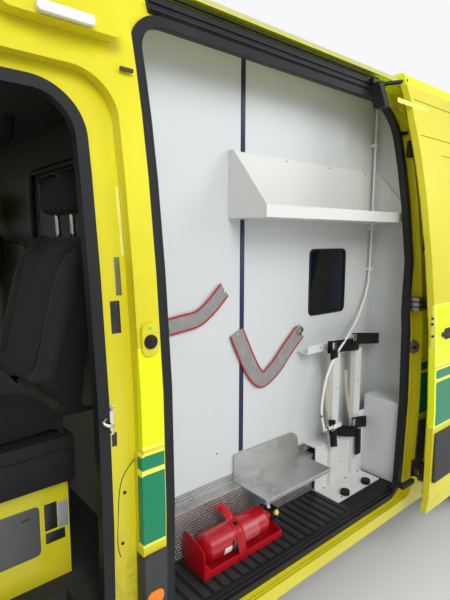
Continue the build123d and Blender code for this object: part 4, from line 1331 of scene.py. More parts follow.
@dataclass(frozen=True)
class Doorway:
    """Trim of the left sliding doorway: rail bands, sill cover, mat ribs and screws."""

    rib_pitch: float = 0.044
    rib_width: float = 0.029
    rib_count: int = 22
    first_rib: float = -0.545
    mat_top: float = 0.47

    def build(self, bench: Bench) -> None:
        """Model the trim.

        Args:
            bench: The modelling bench.
        """
        bench.work_on()
        for number, (y, z) in enumerate(((-0.797, 2.327), (-0.7895, 2.352), (-0.779, 2.388))):
            bench.slab(
                f"rail_band_{number}", "seal", (-0.515, y - 0.007, z - 0.004), (0.695, y + 0.003, z + 0.004), 0.0015,
            )
        bench.slab("roller_carriage", "black_gloss", (0.6, -0.82, 2.333), (0.7, -0.793, 2.368), 0.005)
        bench.tube("roller_arm", "black_gloss", [
            (0.66, -0.815, 2.35), (0.7, -0.86, 2.355), (0.74, -0.9, 2.36),
        ], 0.009)
        bench.slab("sill_cover", "mat", (-0.55, -0.9415, 0.4403), (0.73, -0.921, 0.4617), 0.003)
        rib = bench.slab(
            "mat_rib", "mat_rib", (self.first_rib, -0.916, self.mat_top - 0.0005),
            (self.first_rib + self.rib_width, -0.712, self.mat_top + 0.0022), 0.0012,
        )
        shifts = [(self.rib_pitch * number, 0.0, 0.0) for number in range(1, self.rib_count)]
        bench.repeat(rib, shifts)
        bench.slab(
            "mat_nose_lip", "mat", (-0.526, -0.935, self.mat_top - 0.0005), (0.684, -0.921, self.mat_top + 0.003),
            0.0014,
        )
        bench.screws("base_screw", "dark_steel", [
            (0.452, -0.84, 0.4762), (0.452, -0.735, 0.4762), (0.612, -0.745, 0.4762), (0.715, -0.745, 0.4762),
        ], UPWARD, 0.005)


@dataclass(frozen=True)
class Locker:
    """Locker wall: navy joint strip, window rim, screws and the clipped white hose."""

    face_y: float = -0.65
    strip_x: Flat = (-0.026, -0.003)
    window: tuple[Flat, Flat] = ((0.406, 1.312), (0.675, 1.617))
    hose_radius: float = 0.006
    hose_length: float = 1.79
    route: tuple[Point, ...] = (
        (0.868, -0.672, 2.37), (0.868, -0.672, 1.5), (0.838, -0.676, 1.398), (0.773, -0.69, 1.314),
        (0.688, -0.715, 1.251), (0.585, -0.745, 1.202), (0.484, -0.757, 1.138), (0.414, -0.762, 1.056),
        (0.384, -0.764, 0.957), (0.378, -0.762, 0.862), (0.41, -0.76, 0.787),
    )
    clip_z: tuple[float, ...] = (2.341, 2.132, 1.723, 1.511)

    def hose(self, bench: Bench) -> None:
        """Lay the white hose as one cord.

        Args:
            bench: The modelling bench.
        """
        piece = bpy.data.objects.new("white_hose", Bench.line("white_hose", list(self.route), self.hose_radius))
        bpy.context.scene.collection.objects.link(piece)
        piece.data.resolution_u = 12
        piece.data.materials.append(bench.finishes["hose"])
        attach(piece, "root")
        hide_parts("hose")

    def build(self, bench: Bench) -> None:
        """Model the wall's fittings.

        Args:
            bench: The modelling bench.
        """
        bench.work_on()
        self.hose(bench)
        y = self.face_y
        for name, low, high in (("upper", 2.003, 2.388), ("lower", 0.776, 1.742)):
            bench.slab(
                f"navy_strip_{name}", "navy", (self.strip_x[0], y - 0.0016, low), (self.strip_x[1], y + 0.001, high),
                0.0006,
            )
        (x0, z0), (x1, z1) = self.window
        rim = rounded(rectangle((x0, z0), (x1, z1)), 0.028)
        bench.tube("window_rim", "seal", [(x, y - 0.001, z) for x, z in rim], 0.0042, True)
        front = -0.6543
        bench.screws("shelf_screw", "dark_steel", [
            (-0.075, front, 1.992), (0.233, front, 1.992), (0.525, front, 1.991), (0.814, front, 1.99),
        ], LEFTWARD)
        bench.screws("wall_screw", "dark_steel", [(-0.145, y, 0.803), (0.1, y, 2.36), (0.62, y, 2.36)], LEFTWARD)
        clip = bench.slab(
            "hose_clip", "hose", (0.858, -0.682, self.clip_z[0] - 0.009), (0.878, y - 0.0002, self.clip_z[0] + 0.009),
            0.003,
        )
        bench.repeat(clip, [(0, 0, z - self.clip_z[0]) for z in self.clip_z[1:]])
        bench.slab("corner_bead", "white_steel", (0.8935, -0.6565, 0.885), (0.8995, y - 0.0002, 2.385), 0.002)


@dataclass(frozen=True)
class Rack:
    """Cylinder rack: webbing loops with buckles, translucent tubes and the hose fitting."""

    front: float = -0.7413
    bands: tuple[tuple[str, Point, float, float, tuple[Point, ...]], ...] = (
        ("loop_upper_left", UPWARD, 0.058, 0.004, (
            (0.428, 0.006, 1.176), (0.445, 0.014, 1.174), (0.49, 0.004, 1.17), (0.54, 0.002, 1.166),
            (0.6, 0.01, 1.161), (0.675, 0.006, 1.155))),
        ("loop_upper_right", UPWARD, 0.056, 0.004, (
            (0.605, 0.014, 1.192), (0.65, 0.016, 1.188), (0.7, 0.008, 1.181), (0.77, 0.012, 1.172),
            (0.845, 0.01, 1.162))),
        ("loop_lower_left", UPWARD, 0.056, 0.004, (
            (0.455, 0.01, 0.78), (0.5, 0.004, 0.765), (0.54, 0.003, 0.745), (0.62, 0.014, 0.722),
            (0.7, 0.006, 0.7))),
        ("loop_lower_right", UPWARD, 0.058, 0.004, (
            (0.628, 0.018, 0.764), (0.67, 0.014, 0.756), (0.72, 0.006, 0.746), (0.79, 0.014, 0.732),
            (0.852, 0.01, 0.718))),
        ("tail_upper", (1, 0, 0.1), 0.056, 0.0035, (
            (0.46, 0.016, 1.178), (0.461, 0.019, 1.15), (0.464, 0.018, 1.118))),
        ("tail_lower", REARWARD, 0.046, 0.0035, (
            (0.69, 0.012, 0.715), (0.689, 0.016, 0.65), (0.688, 0.017, 0.584))),
        ("tail_left", (1, 0, -0.25), 0.054, 0.004, (
            (0.466, 0.014, 0.822), (0.474, 0.02, 0.775), (0.472, 0.022, 0.73), (0.486, 0.018, 0.684))),
    )

    def build(self, bench: Bench) -> None:
        """Model the rack's fittings.

        Args:
            bench: The modelling bench.
        """
        bench.work_on()
        y = self.front - 0.0025
        for name, across, width, thick, line in self.bands:
            points = [(x, y - out, z) for x, out, z in line]
            bench.ribbon(f"black_{name}", "black_webbing", points, across, width, thick)
        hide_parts("straps")
        buckle = bench.slab("buckle", "chrome", (0.446, y - 0.024, 1.164), (0.47, y - 0.015, 1.196), 0.002)
        bench.repeat(buckle, [(0.158, 0.0, 0.018), (0.01, 0.0, -0.395), (0.176, 0.0, -0.412)])
        bench.slab("rack_bar_end", "white_steel", (0.792, -0.7155, 1.128), (0.884, -0.7115, 1.172), 0.001)
        bench.slab("rack_bar_rim", "white_steel", (0.792, -0.7155, 1.17), (0.884, -0.66, 1.1735), 0.001)
        bench.slab("rack_edge_board", "white_steel", (0.69, -0.7395, 0.458), (0.7605, -0.7355, 0.8), 0.001)
        bench.screws("bar_screw", "dark_steel", [(0.862, -0.7155, 1.15)], LEFTWARD, 0.0045)
        for number, path in enumerate((
            [(0.462, -0.726, 1.0), (0.455, -0.732, 0.93), (0.462, -0.736, 0.86), (0.478, -0.738, 0.795)],
            [(0.606, -0.726, 1.03), (0.602, -0.732, 0.96), (0.618, -0.736, 0.87), (0.646, -0.738, 0.785)],
        )):
            bench.tube(f"pale_tube_{number}", "pale_tube", path, 0.0105)
        bench.rod("hose_nut", "chrome", (0.408, -0.76, 0.787), (0.432, -0.76, 0.787), 0.0115)
        bench.rod("hose_collar", "dark_steel", (0.384, -0.76, 0.868), (0.386, -0.76, 0.858), 0.0078)
        bench.slab("hose_plug", "hose", (0.47, -0.77, 0.776), (0.502, -0.75, 0.798), 0.004)
        bench.screws("rack_screw", "dark_steel", [
            (0.515, -0.7412, 0.96), (0.69, -0.7412, 0.97), (0.42, -0.7161, 1.168), (0.8, -0.7161, 1.168),
            (0.6, -0.7221, 0.56), (0.69, -0.7412, 0.56),
        ], LEFTWARD, 0.0035)
        self.wall_straps(bench)

    @staticmethod
    def wall_straps(bench: Bench) -> None:
        """Model the grey straps with red edges that hang on the wall.

        Args:
            bench: The modelling bench.
        """
        rows = (
            ("low", [(-0.047, 1.292), (-0.024, 1.238), (0.012, 1.172), (0.055, 1.098), (0.097, 1.062), (0.14, 1.076),
                     (0.195, 1.118), (0.262, 1.182), (0.338, 1.248)], 0.07),
            ("high", [(-0.372, 1.352), (-0.315, 1.362), (-0.245, 1.366), (-0.19, 1.4), (-0.135, 1.452),
                      (-0.112, 1.47)], 0.058),
        )
        for name, line, width in rows:
            for part, offset, wide, finish in (
                ("web", 0.0, width, "webbing"), ("edge_a", width / 2, 0.006, "strap_edge"),
                ("edge_b", -width / 2, 0.006, "strap_edge"),
            ):
                points: list[Point] = []
                for number, (x, z) in enumerate(line):
                    lift = 0.004 + 0.006 * math.sin(1.3 * number) ** 2
                    ahead, behind = line[min(number + 1, len(line) - 1)], line[max(number - 1, 0)]
                    along = Vector((ahead[0] - behind[0], ahead[1] - behind[1])).normalized()
                    normal = (-along.y, along.x)
                    points.append((x + offset * normal[0], -0.6518 - lift, z + offset * normal[1]))
                bench.band(f"grey_strap_{name}_{part}", finish, points, wide, 0.0026 if part == "web" else 0.0034)
        bench.slab("strap_buckle", "catch_steel", (0.318, -0.666, 1.232), (0.352, -0.651, 1.272), 0.003, (0, 45, 0))
        bench.screws("strap_anchor", "chrome", [
            (-0.045, -0.66, 1.283), (0.335, -0.666, 1.252), (-0.118, -0.662, 1.463),
        ], LEFTWARD, 0.006)


@dataclass(frozen=True)
class Extinguisher:
    """Red cradle with its strap and hook, and the extinguisher's valve and gauge."""

    tank_y: float = -0.788
    tank_z: float = 0.541
    tank_r: float = 0.054
    strap_x: float = -0.185
    floor: float = 0.4723

    def build(self, bench: Bench) -> None:
        """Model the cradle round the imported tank.

        Args:
            bench: The modelling bench.
        """
        bench.work_on()
        y, z, floor = self.tank_y, self.tank_z, self.floor
        end = bench.plate("cradle_end_plate", "red", [
            (-0.856, floor), (-0.856, 0.575), (-0.829, 0.592), (-0.765, 0.606), (-0.739, 0.608), (-0.724, 0.59),
            (-0.724, 0.5), (-0.738, floor),
        ], Axis.X, -0.3655, -0.3695, 0.0008)
        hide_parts("extinguisher_cradle")
        bench.slab("cradle_tray", "red", (-0.366, -0.852, floor), (0.026, -0.726, floor + 0.004), 0.001)
        bench.slab("cradle_front_fold", "red", (-0.366, -0.856, floor), (0.026, -0.852, floor + 0.03), 0.001)
        bench.slab("cradle_back_fold", "red", (-0.366, -0.728, floor), (0.026, -0.724, floor + 0.03), 0.001)
        bench.plate("cradle_foot_plate", "red", [
            (-0.852, floor), (-0.852, 0.5), (-0.832, 0.512), (-0.745, 0.512), (-0.726, floor),
        ], Axis.X, 0.022, 0.026, 0.0008)
        bench.plate("cradle_gusset", "red", [
            (-0.362, floor + 0.003), (-0.362, 0.535), (-0.315, floor + 0.003),
        ], Axis.Y, -0.8525, -0.8555, 0.0006)
        reach = self.tank_r + 0.0025
        arc = [(self.strap_x, -0.8565, floor + 0.004), (self.strap_x, -0.8545, 0.515)]
        for angle in (165, 145, 125, 105, 90):
            turn = math.radians(angle)
            arc.append((self.strap_x, y + reach * math.cos(turn), z + reach * math.sin(turn)))
        arc += [(self.strap_x - 0.006, -0.776, 0.614), (self.strap_x - 0.018, -0.774, 0.638),
                (self.strap_x - 0.036, -0.776, 0.66), (self.strap_x - 0.062, -0.778, 0.678)]
        bench.ribbon("cradle_strap", "red", arc, REARWARD, 0.04, 0.003)
        bench.rod("strap_hole", "black_gloss", (self.strap_x, -0.812, 0.598), (self.strap_x, -0.8075, 0.5885), 0.0085)
        bench.slab(
            "cradle_lug", "dark_steel", (self.strap_x - 0.038, -0.85, 0.52), (self.strap_x - 0.024, -0.8425, 0.556),
            0.002,
        )
        bench.rod("valve_neck", "red", (-0.012, y, z), (0.02, y, z), 0.019, bevel=0.003)
        bench.slab("valve_block", "black_gloss", (0.012, -0.812, 0.522), (0.052, -0.764, 0.566), 0.005)
        bench.tube("valve_lever", "black_gloss", [
            (0.02, -0.79, 0.566), (0.0, -0.79, 0.585), (-0.03, -0.79, 0.6),
        ], 0.006)
        bench.rod("pin_cap", "hose", (0.004, -0.8, 0.583), (0.0, -0.804, 0.596), 0.008, 0.006)
        bench.lathe("gauge", "gauge_yellow", [
            (0.0, 0.01), (0.008, 0.01), (0.0115, 0.006), (0.0115, -0.002), (0.0, -0.002),
        ], (0.036, -0.811, 0.552), (0, -1, 0.4), 24)
        bench.tube("discharge_hose", "black_gloss", [
            (0.05, -0.77, 0.53), (0.066, -0.76, 0.512), (0.06, -0.748, 0.494), (0.01, -0.742, 0.49),
        ], 0.007)


@dataclass(frozen=True)
class Pillar:
    """Left door pillar: inlet plug, blank stickers, striker, side marker and flap line."""

    def sticker(self, bench: Bench, name: str, finish: str, span: Flat, top: Flat, bottom: Flat) -> None:
        """Thin blank label on the tilted jamb, from its x span and its ends' y and z.

        Args:
            bench: The modelling bench.
            name: Name of the piece.
            finish: Its finish.
            span: Its lowest and highest x.
            top: y and z of its upper end.
            bottom: y and z of its lower end.
        """
        long = math.hypot(top[0] - bottom[0], top[1] - bottom[1])
        middle = Vector(((span[0] + span[1]) / 2, (top[0] + bottom[0]) / 2, (top[1] + bottom[1]) / 2))
        half = Vector(((span[1] - span[0]) / 2, 0.0011, long / 2))
        tilt = -math.degrees(math.asin((top[0] - bottom[0]) / long))
        bench.slab(name, finish, tuple(middle - half), tuple(middle + half), 0.0003, (tilt, 0, 0))

    def build(self, bench: Bench) -> None:
        """Model the pillar's fittings.

        Args:
            bench: The modelling bench.
        """
        bench.work_on()
        plate = rounded(rectangle((-0.674, 1.356), (-0.621, 1.447)), 0.026, 8)
        bench.plate("inlet_plate", "plain_body", plate, Axis.Y, -0.97, -0.9875, 0.0015)
        bench.lathe("inlet_plug", "black_gloss", [
            (0.0, 0.0085), (0.01, 0.0085), (0.014, 0.006), (0.0185, 0.006), (0.0195, 0.003), (0.0195, -0.001),
            (0.0, -0.001),
        ], (-0.649, -0.9873, 1.397), LEFTWARD)
        bench.screws("inlet_led", "green_led", [(-0.649, -0.9875, 1.4335)], LEFTWARD, 0.0045)
        rows = (
            ("pale", "label_pale", (-0.692, -0.6835), (-0.8955, 1.805), (-0.9177, 1.6227)),
            ("grey", "label_mixed", (-0.7145, -0.6985), (-0.9182, 1.6205), (-0.9281, 1.5207)),
            ("dark", "label_dark", (-0.7345, -0.7075), (-0.9292, 1.5066), (-0.9361, 1.4214)),
            ("low", "label_dark", (-0.7512, -0.7372), (-0.952, 1.1584), (-0.9527, 1.1209)),
        )
        for name, finish, span, top, bottom in rows:
            self.sticker(bench, f"blank_label_{name}", finish, span, top, bottom)
        bench.slab("striker_plate", "chrome", (-0.77, -0.957, 1.154), (-0.745, -0.951, 1.236), 0.003)
        bench.tube("striker_loop", "chrome", [
            (-0.765, -0.955, 1.205), (-0.78, -0.966, 1.205), (-0.785, -0.976, 1.2), (-0.77, -0.978, 1.19),
            (-0.752, -0.97, 1.186), (-0.75, -0.955, 1.186),
        ], 0.0045)
        bench.screws("striker_bolt", "dark_steel", [(-0.757, -0.957, 1.226), (-0.757, -0.957, 1.164)], LEFTWARD)
        bench.plate("side_marker", "orange_lamp", rounded(
            rectangle((-0.683, 0.64), (-0.628, 0.68)), 0.019, 8,
        ), Axis.Y, -0.99, -1.0035, 0.003)
        bench.screws("flap_screw", "black_gloss", [
            (-0.7205, -0.9553, 0.981), (-0.7305, -0.955, 0.835),
        ], (-0.5, -1, 0), 0.0052)
        bench.tube("flap_joint", "groove", [
            (-0.6835, -0.9575, 1.073), (-0.7104, -0.9541, 1.049), (-0.7352, -0.9549, 1.0086),
            (-0.7426, -0.9562, 0.91), (-0.7462, -0.9547, 0.821), (-0.7358, -0.9541, 0.7965),
        ], 0.0012)
        bench.plate("flap_panel", "side_body", [
            (-0.6795, 0.795), (-0.6795, 1.1), (-0.6865, 1.088), (-0.6885, 1.075), (-0.6885, 0.795),
        ], Axis.Y, -0.954, -0.996, 0.0015)
        bench.slab("pillar_moulding_end", "bumper", (-0.6885, -1.001, 0.56), (-0.668, -0.954, 0.794), 0.006)
        bench.slab("pillar_slot", "groove", (-0.669, -0.8975, 2.101), (-0.631, -0.89, 2.111), 0.001)
        strip = rounded(rectangle((-0.887, 2.173), (-0.751, 2.197)), 0.01)
        bench.plate("pod_lamp_strip", "lamp_white", strip, Axis.Y, -0.915, -0.932, 0.001)


@dataclass(frozen=True)
class OpenDoor:
    """Fittings of the left sliding door, which stands slid back, and of the jamb before it."""

    def build(self, bench: Bench) -> None:
        """Model the fittings in their open places.

        Args:
            bench: The modelling bench.
        """
        bench.work_on()
        for number, (low, high) in enumerate(((1.336, 1.352), (1.3575, 1.376), (1.3815, 1.398))):
            bench.slab(f"catch_band_{number}", "catch_steel", (0.772, -0.996, low), (0.85, -0.925, high), 0.004)
        bench.slab("catch_core", "dark_steel", (0.778, -0.99, 1.34), (0.846, -0.925, 1.394), 0.003)
        bench.lathe("jamb_lock", "cast", [
            (0.0, 0.006), (0.018, 0.006), (0.02, 0.003), (0.027, 0.003), (0.03, 0.0), (0.03, -0.024),
            (0.0, -0.024),
        ], (0.808, -0.962, 1.158), (-0.8, -1, 0), 32)
        bench.slab(
            "jamb_lock_slot", "black_gloss", (0.794, -0.9705, 1.152), (0.8145, -0.9625, 1.164), 0.002, (0, 0, -38.7),
        )
        bench.rod("jamb_pin", "black_gloss", (0.822, -0.835, 2.157), (0.822, -0.868, 2.157), 0.01, 0.007)
        bench.slab("jamb_latch", "black_gloss", (0.806, -0.9, 2.042), (0.834, -0.874, 2.118), 0.005)
        bench.slab("door_latch_upper", "black_gloss", (0.7655, -0.968, 1.995), (0.7735, -0.948, 2.084), 0.002)
        bench.slab("door_slot_upper", "black_gloss", (0.7685, -1.012, 1.615), (0.7735, -1.0, 1.743), 0.001)
        bench.slab("door_latch_low", "black_gloss", (0.745, -1.08, 0.545), (0.776, -1.012, 0.63), 0.007)
        bench.slab("door_latch_tongue", "dark_steel", (0.738, -1.06, 0.57), (0.75, -1.034, 0.6), 0.003)
        bench.screws("door_edge_hole", "black_gloss", [
            (0.7195, -1.088, 1.322), (0.7195, -1.088, 1.296), (0.7195, -1.092, 1.243),
        ], FORWARD, 0.006)


@dataclass(frozen=True)
class SideTrim:
    """Door handles, door mouldings and side lamps of both sides, modelled on shut doors."""

    def handle(self, bench: Bench, name: str, x: Flat, y: float, z: float) -> list[Piece]:
        """Grip in its dished cup.

        Args:
            bench: The modelling bench.
            name: Start of its pieces' names.
            x: Its front and rear end.
            y: Where the door's skin is.
            z: Its height.

        Returns:
            The cup and the grip.
        """
        cup = bench.plate(f"{name}_cup", "bumper", rounded(rectangle(
            (x[0] + 0.02, z - 0.026), (x[1] - 0.015, z + 0.024),
        ), 0.022, 6), Axis.Y, y + 0.006, y - 0.0012, 0.001)
        grip = bench.tube(f"{name}_grip", "bumper", [
            (x[0] + 0.004, y + 0.004, z), (x[0] + 0.008, y - 0.018, z), (x[0] + 0.045, y - 0.024, z + 0.001),
            (x[1] - 0.045, y - 0.024, z + 0.001), (x[1] - 0.008, y - 0.018, z), (x[1] - 0.004, y + 0.004, z),
        ], 0.0105)
        return [cup, grip]

    def moulding(self, bench: Bench, name: str, x: Flat, z: Flat) -> list[Piece]:
        """Thick rubbing strip in two facets.

        Args:
            bench: The modelling bench.
            name: Start of its pieces' names.
            x: Its front and rear end.
            z: Its lower and upper edge.

        Returns:
            Its lower and upper strip.
        """
        lower = bench.slab(f"{name}_lower", "bumper", (x[0], -1.0025, z[0]), (x[1], -0.9845, z[1] - 0.03), 0.006)
        upper = bench.slab(f"{name}_upper", "bumper", (x[0], -1.0035, z[1] - 0.05), (x[1], -0.99, z[1]), 0.007)
        return [lower, upper]

    def inner_trim(self, bench: Bench) -> list[Piece]:
        """Moulded lining of the cab door with its pocket, armrest and pull.

        Args:
            bench: The modelling bench.

        Returns:
            Its pieces.
        """
        board = bench.plate("cab_trim_board", "cab_plastic", rounded([
            (-1.24, 0.6), (-0.86, 0.6), (-0.86, 0.76), (-0.82, 0.83), (-0.82, 1.235), (-1.74, 1.235),
            (-1.72, 1.03), (-1.45, 0.86), (-1.29, 0.76),
        ], 0.04, 6), Axis.Y, -0.942, -0.918, 0.005)
        pocket = bench.slab("cab_trim_pocket", "cab_plastic", (-1.23, -0.92, 0.62), (-0.88, -0.89, 0.7), 0.012)
        mouth = bench.slab(
            "cab_trim_pocket_mouth", "black_gloss", (-1.215, -0.913, 0.698), (-0.895, -0.897, 0.7015), 0.001,
        )
        armrest = bench.slab(
            "cab_trim_armrest", "cab_plastic", (-1.42, -0.92, 0.96), (-0.9, -0.88, 1.005), 0.014,
        )
        pull = bench.tube("cab_trim_pull", "black_gloss", [
            (-1.28, -0.918, 1.075), (-1.28, -0.89, 1.08), (-1.22, -0.886, 1.085), (-1.13, -0.886, 1.085),
            (-1.07, -0.89, 1.08), (-1.07, -0.918, 1.075),
        ], 0.0085)
        lever = bench.plate("cab_trim_lever", "dark_steel", rounded(
            rectangle((-1.56, 1.12), (-1.44, 1.165)), 0.016,
        ), Axis.Y, -0.919, -0.912, 0.001)
        return [board, pocket, mouth, armrest, pull, lever]

    def build(self, bench: Bench) -> None:
        """Model the left side's pieces and mirror them.

        Args:
            bench: The modelling bench.
        """
        bench.work_on("root")
        shut: list[tuple[list[Piece], Matrix, str, str]] = []
        slide = self.handle(bench, "slide_handle", (-0.545, -0.385), -0.9905, 1.242)
        slide += self.moulding(bench, "slide_moulding", (-0.59, 0.806), (0.56, 0.795))
        shut.append((slide, SLIDE_DOOR_OPEN, "root", "root"))
        cab = self.handle(bench, "cab_handle", (-0.905, -0.735), -0.993, 1.15)
        cab += self.moulding(bench, "cab_moulding", (-1.33, -0.706), (0.56, 0.795))
        cab.append(bench.plate("mirror_face", "mirror_glass", rounded([
            (-1.07, 1.312), (-1.08, 1.622), (-1.222, 1.628), (-1.232, 1.48), (-1.21, 1.312)], 0.022),
            Axis.X, -1.7305, -1.7275, 0.001))
        cab.append(bench.plate("mirror_repeater", "orange_lamp", rounded(
            rectangle((-1.175, 1.4), (-1.085, 1.432)), 0.014,
        ), Axis.X, -1.821, -1.8255, 0.001))
        cab += self.inner_trim(bench)
        shut.append((cab, CAB_DOOR_OPEN, "cab_door_left", "cab_door_right"))
        for pieces, move, left, right in shut:
            for piece in pieces:
                bench.copy(piece, f"{piece.name}_right", MIRROR, right)
                name = piece.name
                bench.copy(piece, f"{name}_left", move, left)
                bpy.data.objects.remove(piece)
        marker = bench.plate("tail_marker", "orange_lamp", rounded(
            rectangle((2.93, 0.66), (2.985, 0.69)), 0.012,
        ), Axis.Y, -0.985, -1.0035, 0.003)
        bench.copy(marker, "tail_marker_right", MIRROR)


@dataclass(frozen=True)
class Wheels:
    """Grooved tyres, hub caps and wheel nuts."""

    radius: float = 0.356
    half: float = 0.1175
    track: float = 1.71
    axle_x: float = 1.8325
    nuts: int = 6
    facets: int = 84
    shoulder: Flat = (0.34, 0.062)
    groove: float = 0.005

    def tyre_profile(self) -> list[Flat]:
        """Section of the tyre from its inner bead over the tread to its outer bead.

        Returns:
            Points as radius and distance along the axle.
        """
        half, top = self.half, self.radius
        profile = [
            (0.204, -half + 0.02), (0.214, -half + 0.01), (0.24, -half + 0.002), (0.272, -half + 0.0005),
            (0.3, -half + 0.006), (0.326, -half + 0.012), (0.343, -half + 0.02),
        ]
        grooves = (-0.052, -0.018, 0.018, 0.052)
        profile.append((top - 0.005, -half + 0.034))
        for groove in grooves:
            profile += [
                (top - 0.0006, groove - 0.006), (top - 0.009, groove - 0.0045), (top - 0.009, groove + 0.0045),
                (top - 0.0006, groove + 0.006),
            ]
        profile.append((top - 0.005, half - 0.034))
        profile += [
            (0.343, half - 0.02), (0.326, half - 0.012), (0.314, half - 0.011), (0.311, half - 0.008),
            (0.272, half - 0.0005), (0.244, half - 0.002), (0.241, half - 0.0045), (0.222, half - 0.006),
            (0.214, half - 0.01), (0.204, half - 0.02),
        ]
        return profile

    def build(self, bench: Bench) -> None:
        """Model one wheel and copy it to the others.

        Args:
            bench: The modelling bench.
        """
        bench.work_on("wheel_front_left")
        at = (-self.axle_x, -self.track / 2, self.radius)
        tyre = bench.lathe("grooved_tyre", "tyre", self.tyre_profile(), at, LEFTWARD, self.facets)
        self.cut_shoulders(bench, tyre, at)
        cap = bench.lathe("hub_cap", "black_gloss", [
            (0.0, 0.066), (0.022, 0.066), (0.03, 0.062), (0.046, 0.058), (0.055, 0.05), (0.058, 0.042),
            (0.052, 0.04),
        ], at, LEFTWARD)
        nut = bench.rod(
            "wheel_nut", "dark_steel", (at[0] + 0.08, at[1] - 0.038, at[2]), (at[0] + 0.08, at[1] - 0.062, at[2]),
            0.0115, 0.0095, 0.0015, 6,
        )
        nuts = [nut] + [
            bench.copy(nut, f"wheel_nut_{number + 1}", turned(360.0 / self.nuts * number, at, "Y"))
            for number in range(1, self.nuts)
        ]
        self.join(bench, [cap, *nuts], "hub_front_left")
        hub = bpy.context.object
        tyre.name = tyre.data.name = "grooved_tyre_front_left"
        back = Matrix.Translation((2 * self.axle_x, 0, 0))
        for name, move in (("front_right", MIRROR), ("rear_left", back), ("rear_right", MIRROR @ back)):
            twin = bench.copy(tyre, f"grooved_tyre_{name}", move, f"wheel_{name}")
            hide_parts(f"tyre_{name}")
            bench.copy(hub, f"hub_{name}", move, f"wheel_{name}")
        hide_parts("tyre_front_left")

    @staticmethod
    def join(bench: Bench, pieces: list[Piece], name: str) -> None:
        """Join pieces of one body into one.

        Args:
            bench: The modelling bench.
            pieces: The pieces.
            name: Name of the whole.
        """
        bench.take(pieces[0])
        for piece in pieces:
            piece.select_set(True)
        bpy.ops.object.join()
        bpy.context.object.name = bpy.context.object.data.name = name

    def cut_shoulders(self, bench: Bench, tyre: Piece, at: Point) -> None:
        """Press short cross grooves into both shoulders of the tread.

        Args:
            bench: The modelling bench.
            tyre: The tyre.
            at: Its middle.
        """
        bench.take(tyre)
        for face in tyre.data.polygons:
            middle = face.center - Vector(at)
            reach = math.hypot(middle.x, middle.z)
            angle = math.atan2(middle.z, middle.x) % math.tau
            number = int(angle / math.tau * self.facets)
            outside = reach > self.shoulder[0] and abs(middle.y) > self.shoulder[1]
            face.select = outside and number % 3 == 0
        bpy.ops.object.mode_set(mode="EDIT")
        bpy.ops.mesh.select_mode(type="FACE")
        bpy.ops.mesh.extrude_region_shrink_fatten(TRANSFORM_OT_shrink_fatten={"value": -self.groove})
        bpy.ops.object.mode_set(mode="OBJECT")


@dataclass(frozen=True)
class FrontEnd:
    """Lamp bowls, lower intake with its blank plate, and wipers."""

    def build(self, bench: Bench) -> None:
        """Model the pieces at the front.

        Args:
            bench: The modelling bench.
        """
        bench.work_on()
        bowl_profile = [
            (0.0, -0.045), (0.022, -0.042), (0.042, -0.03), (0.055, -0.01), (0.06, 0.008), (0.064, 0.008),
            (0.06, -0.014), (0.044, -0.036), (0.0, -0.05),
        ]
        for name, y, z, x in (("dipped", -0.69, 0.87, -2.735), ("main", -0.835, 0.905, -2.655)):
            bowl = bench.lathe(f"lamp_bowl_{name}", "chrome", bowl_profile, (x, y, z), (-1, -0.12, 0), 32)
            bench.copy(bowl, f"lamp_bowl_{name}_right", MIRROR)
            bulb = bench.lathe(f"lamp_bulb_{name}", "lamp_white", [
                (0.0, 0.012), (0.006, 0.01), (0.009, 0.0), (0.009, -0.044), (0.0, -0.044),
            ], (x, y, z), (-1, -0.12, 0), 20)
            bench.copy(bulb, f"lamp_bulb_{name}_right", MIRROR)
        bar = bench.slab("intake_bar", "bumper", (-2.812, -0.44, 0.352), (-2.78, 0.44, 0.362), 0.003)
        bench.repeat(bar, [(0, 0, 0.022 * number) for number in range(1, 5)])
        for number, y in enumerate((-0.24, 0.0, 0.24)):
            bench.slab(
                f"intake_post_{number}", "bumper", (-2.806, y - 0.006, 0.338), (-2.786, y + 0.006, 0.455), 0.002,
            )
        plate = rounded(rectangle((-0.26, 0.343), (0.26, 0.447)), 0.01)
        bench.plate("blank_plate_front", "blank_plate", plate, Axis.X, -2.81, -2.8145, 0.001)
        fog = bench.lathe("fog_lamp", "lamp_white", [
            (0.0, 0.012), (0.026, 0.01), (0.038, 0.002), (0.042, -0.012), (0.0, -0.012),
        ], (-2.712, -0.66, 0.425), (-1, -0.35, 0), 32)
        bench.copy(fog, "fog_lamp_right", MIRROR)
        for name, root_y, tip_y in (("left", -0.1, -0.66), ("right", 0.62, 0.05)):
            foot = screen_point(root_y, 1.325, 0.012)
            heel = screen_point((root_y + tip_y) / 2, 1.4, 0.018)
            bench.lathe(f"wiper_pivot_{name}", "black_gloss", [
                (0.0, 0.014), (0.012, 0.012), (0.017, 0.0), (0.017, -0.03), (0.0, -0.03),
            ], foot, (-0.8, 0, 0.6), 20)
            bench.tube(f"wiper_arm_{name}", "black_gloss", [foot, screen_point(
                root_y * 0.75 + tip_y * 0.25, 1.36, 0.03,
            ), heel], 0.0055)
            blade = [
                screen_point(root_y + (tip_y - root_y) * share, 1.368 + 0.05 * share, 0.007)
                for share in (0.02, 0.25, 0.5, 0.75, 1.0)
            ]
            bench.tube(f"wiper_blade_{name}", "seal", blade, 0.0055)


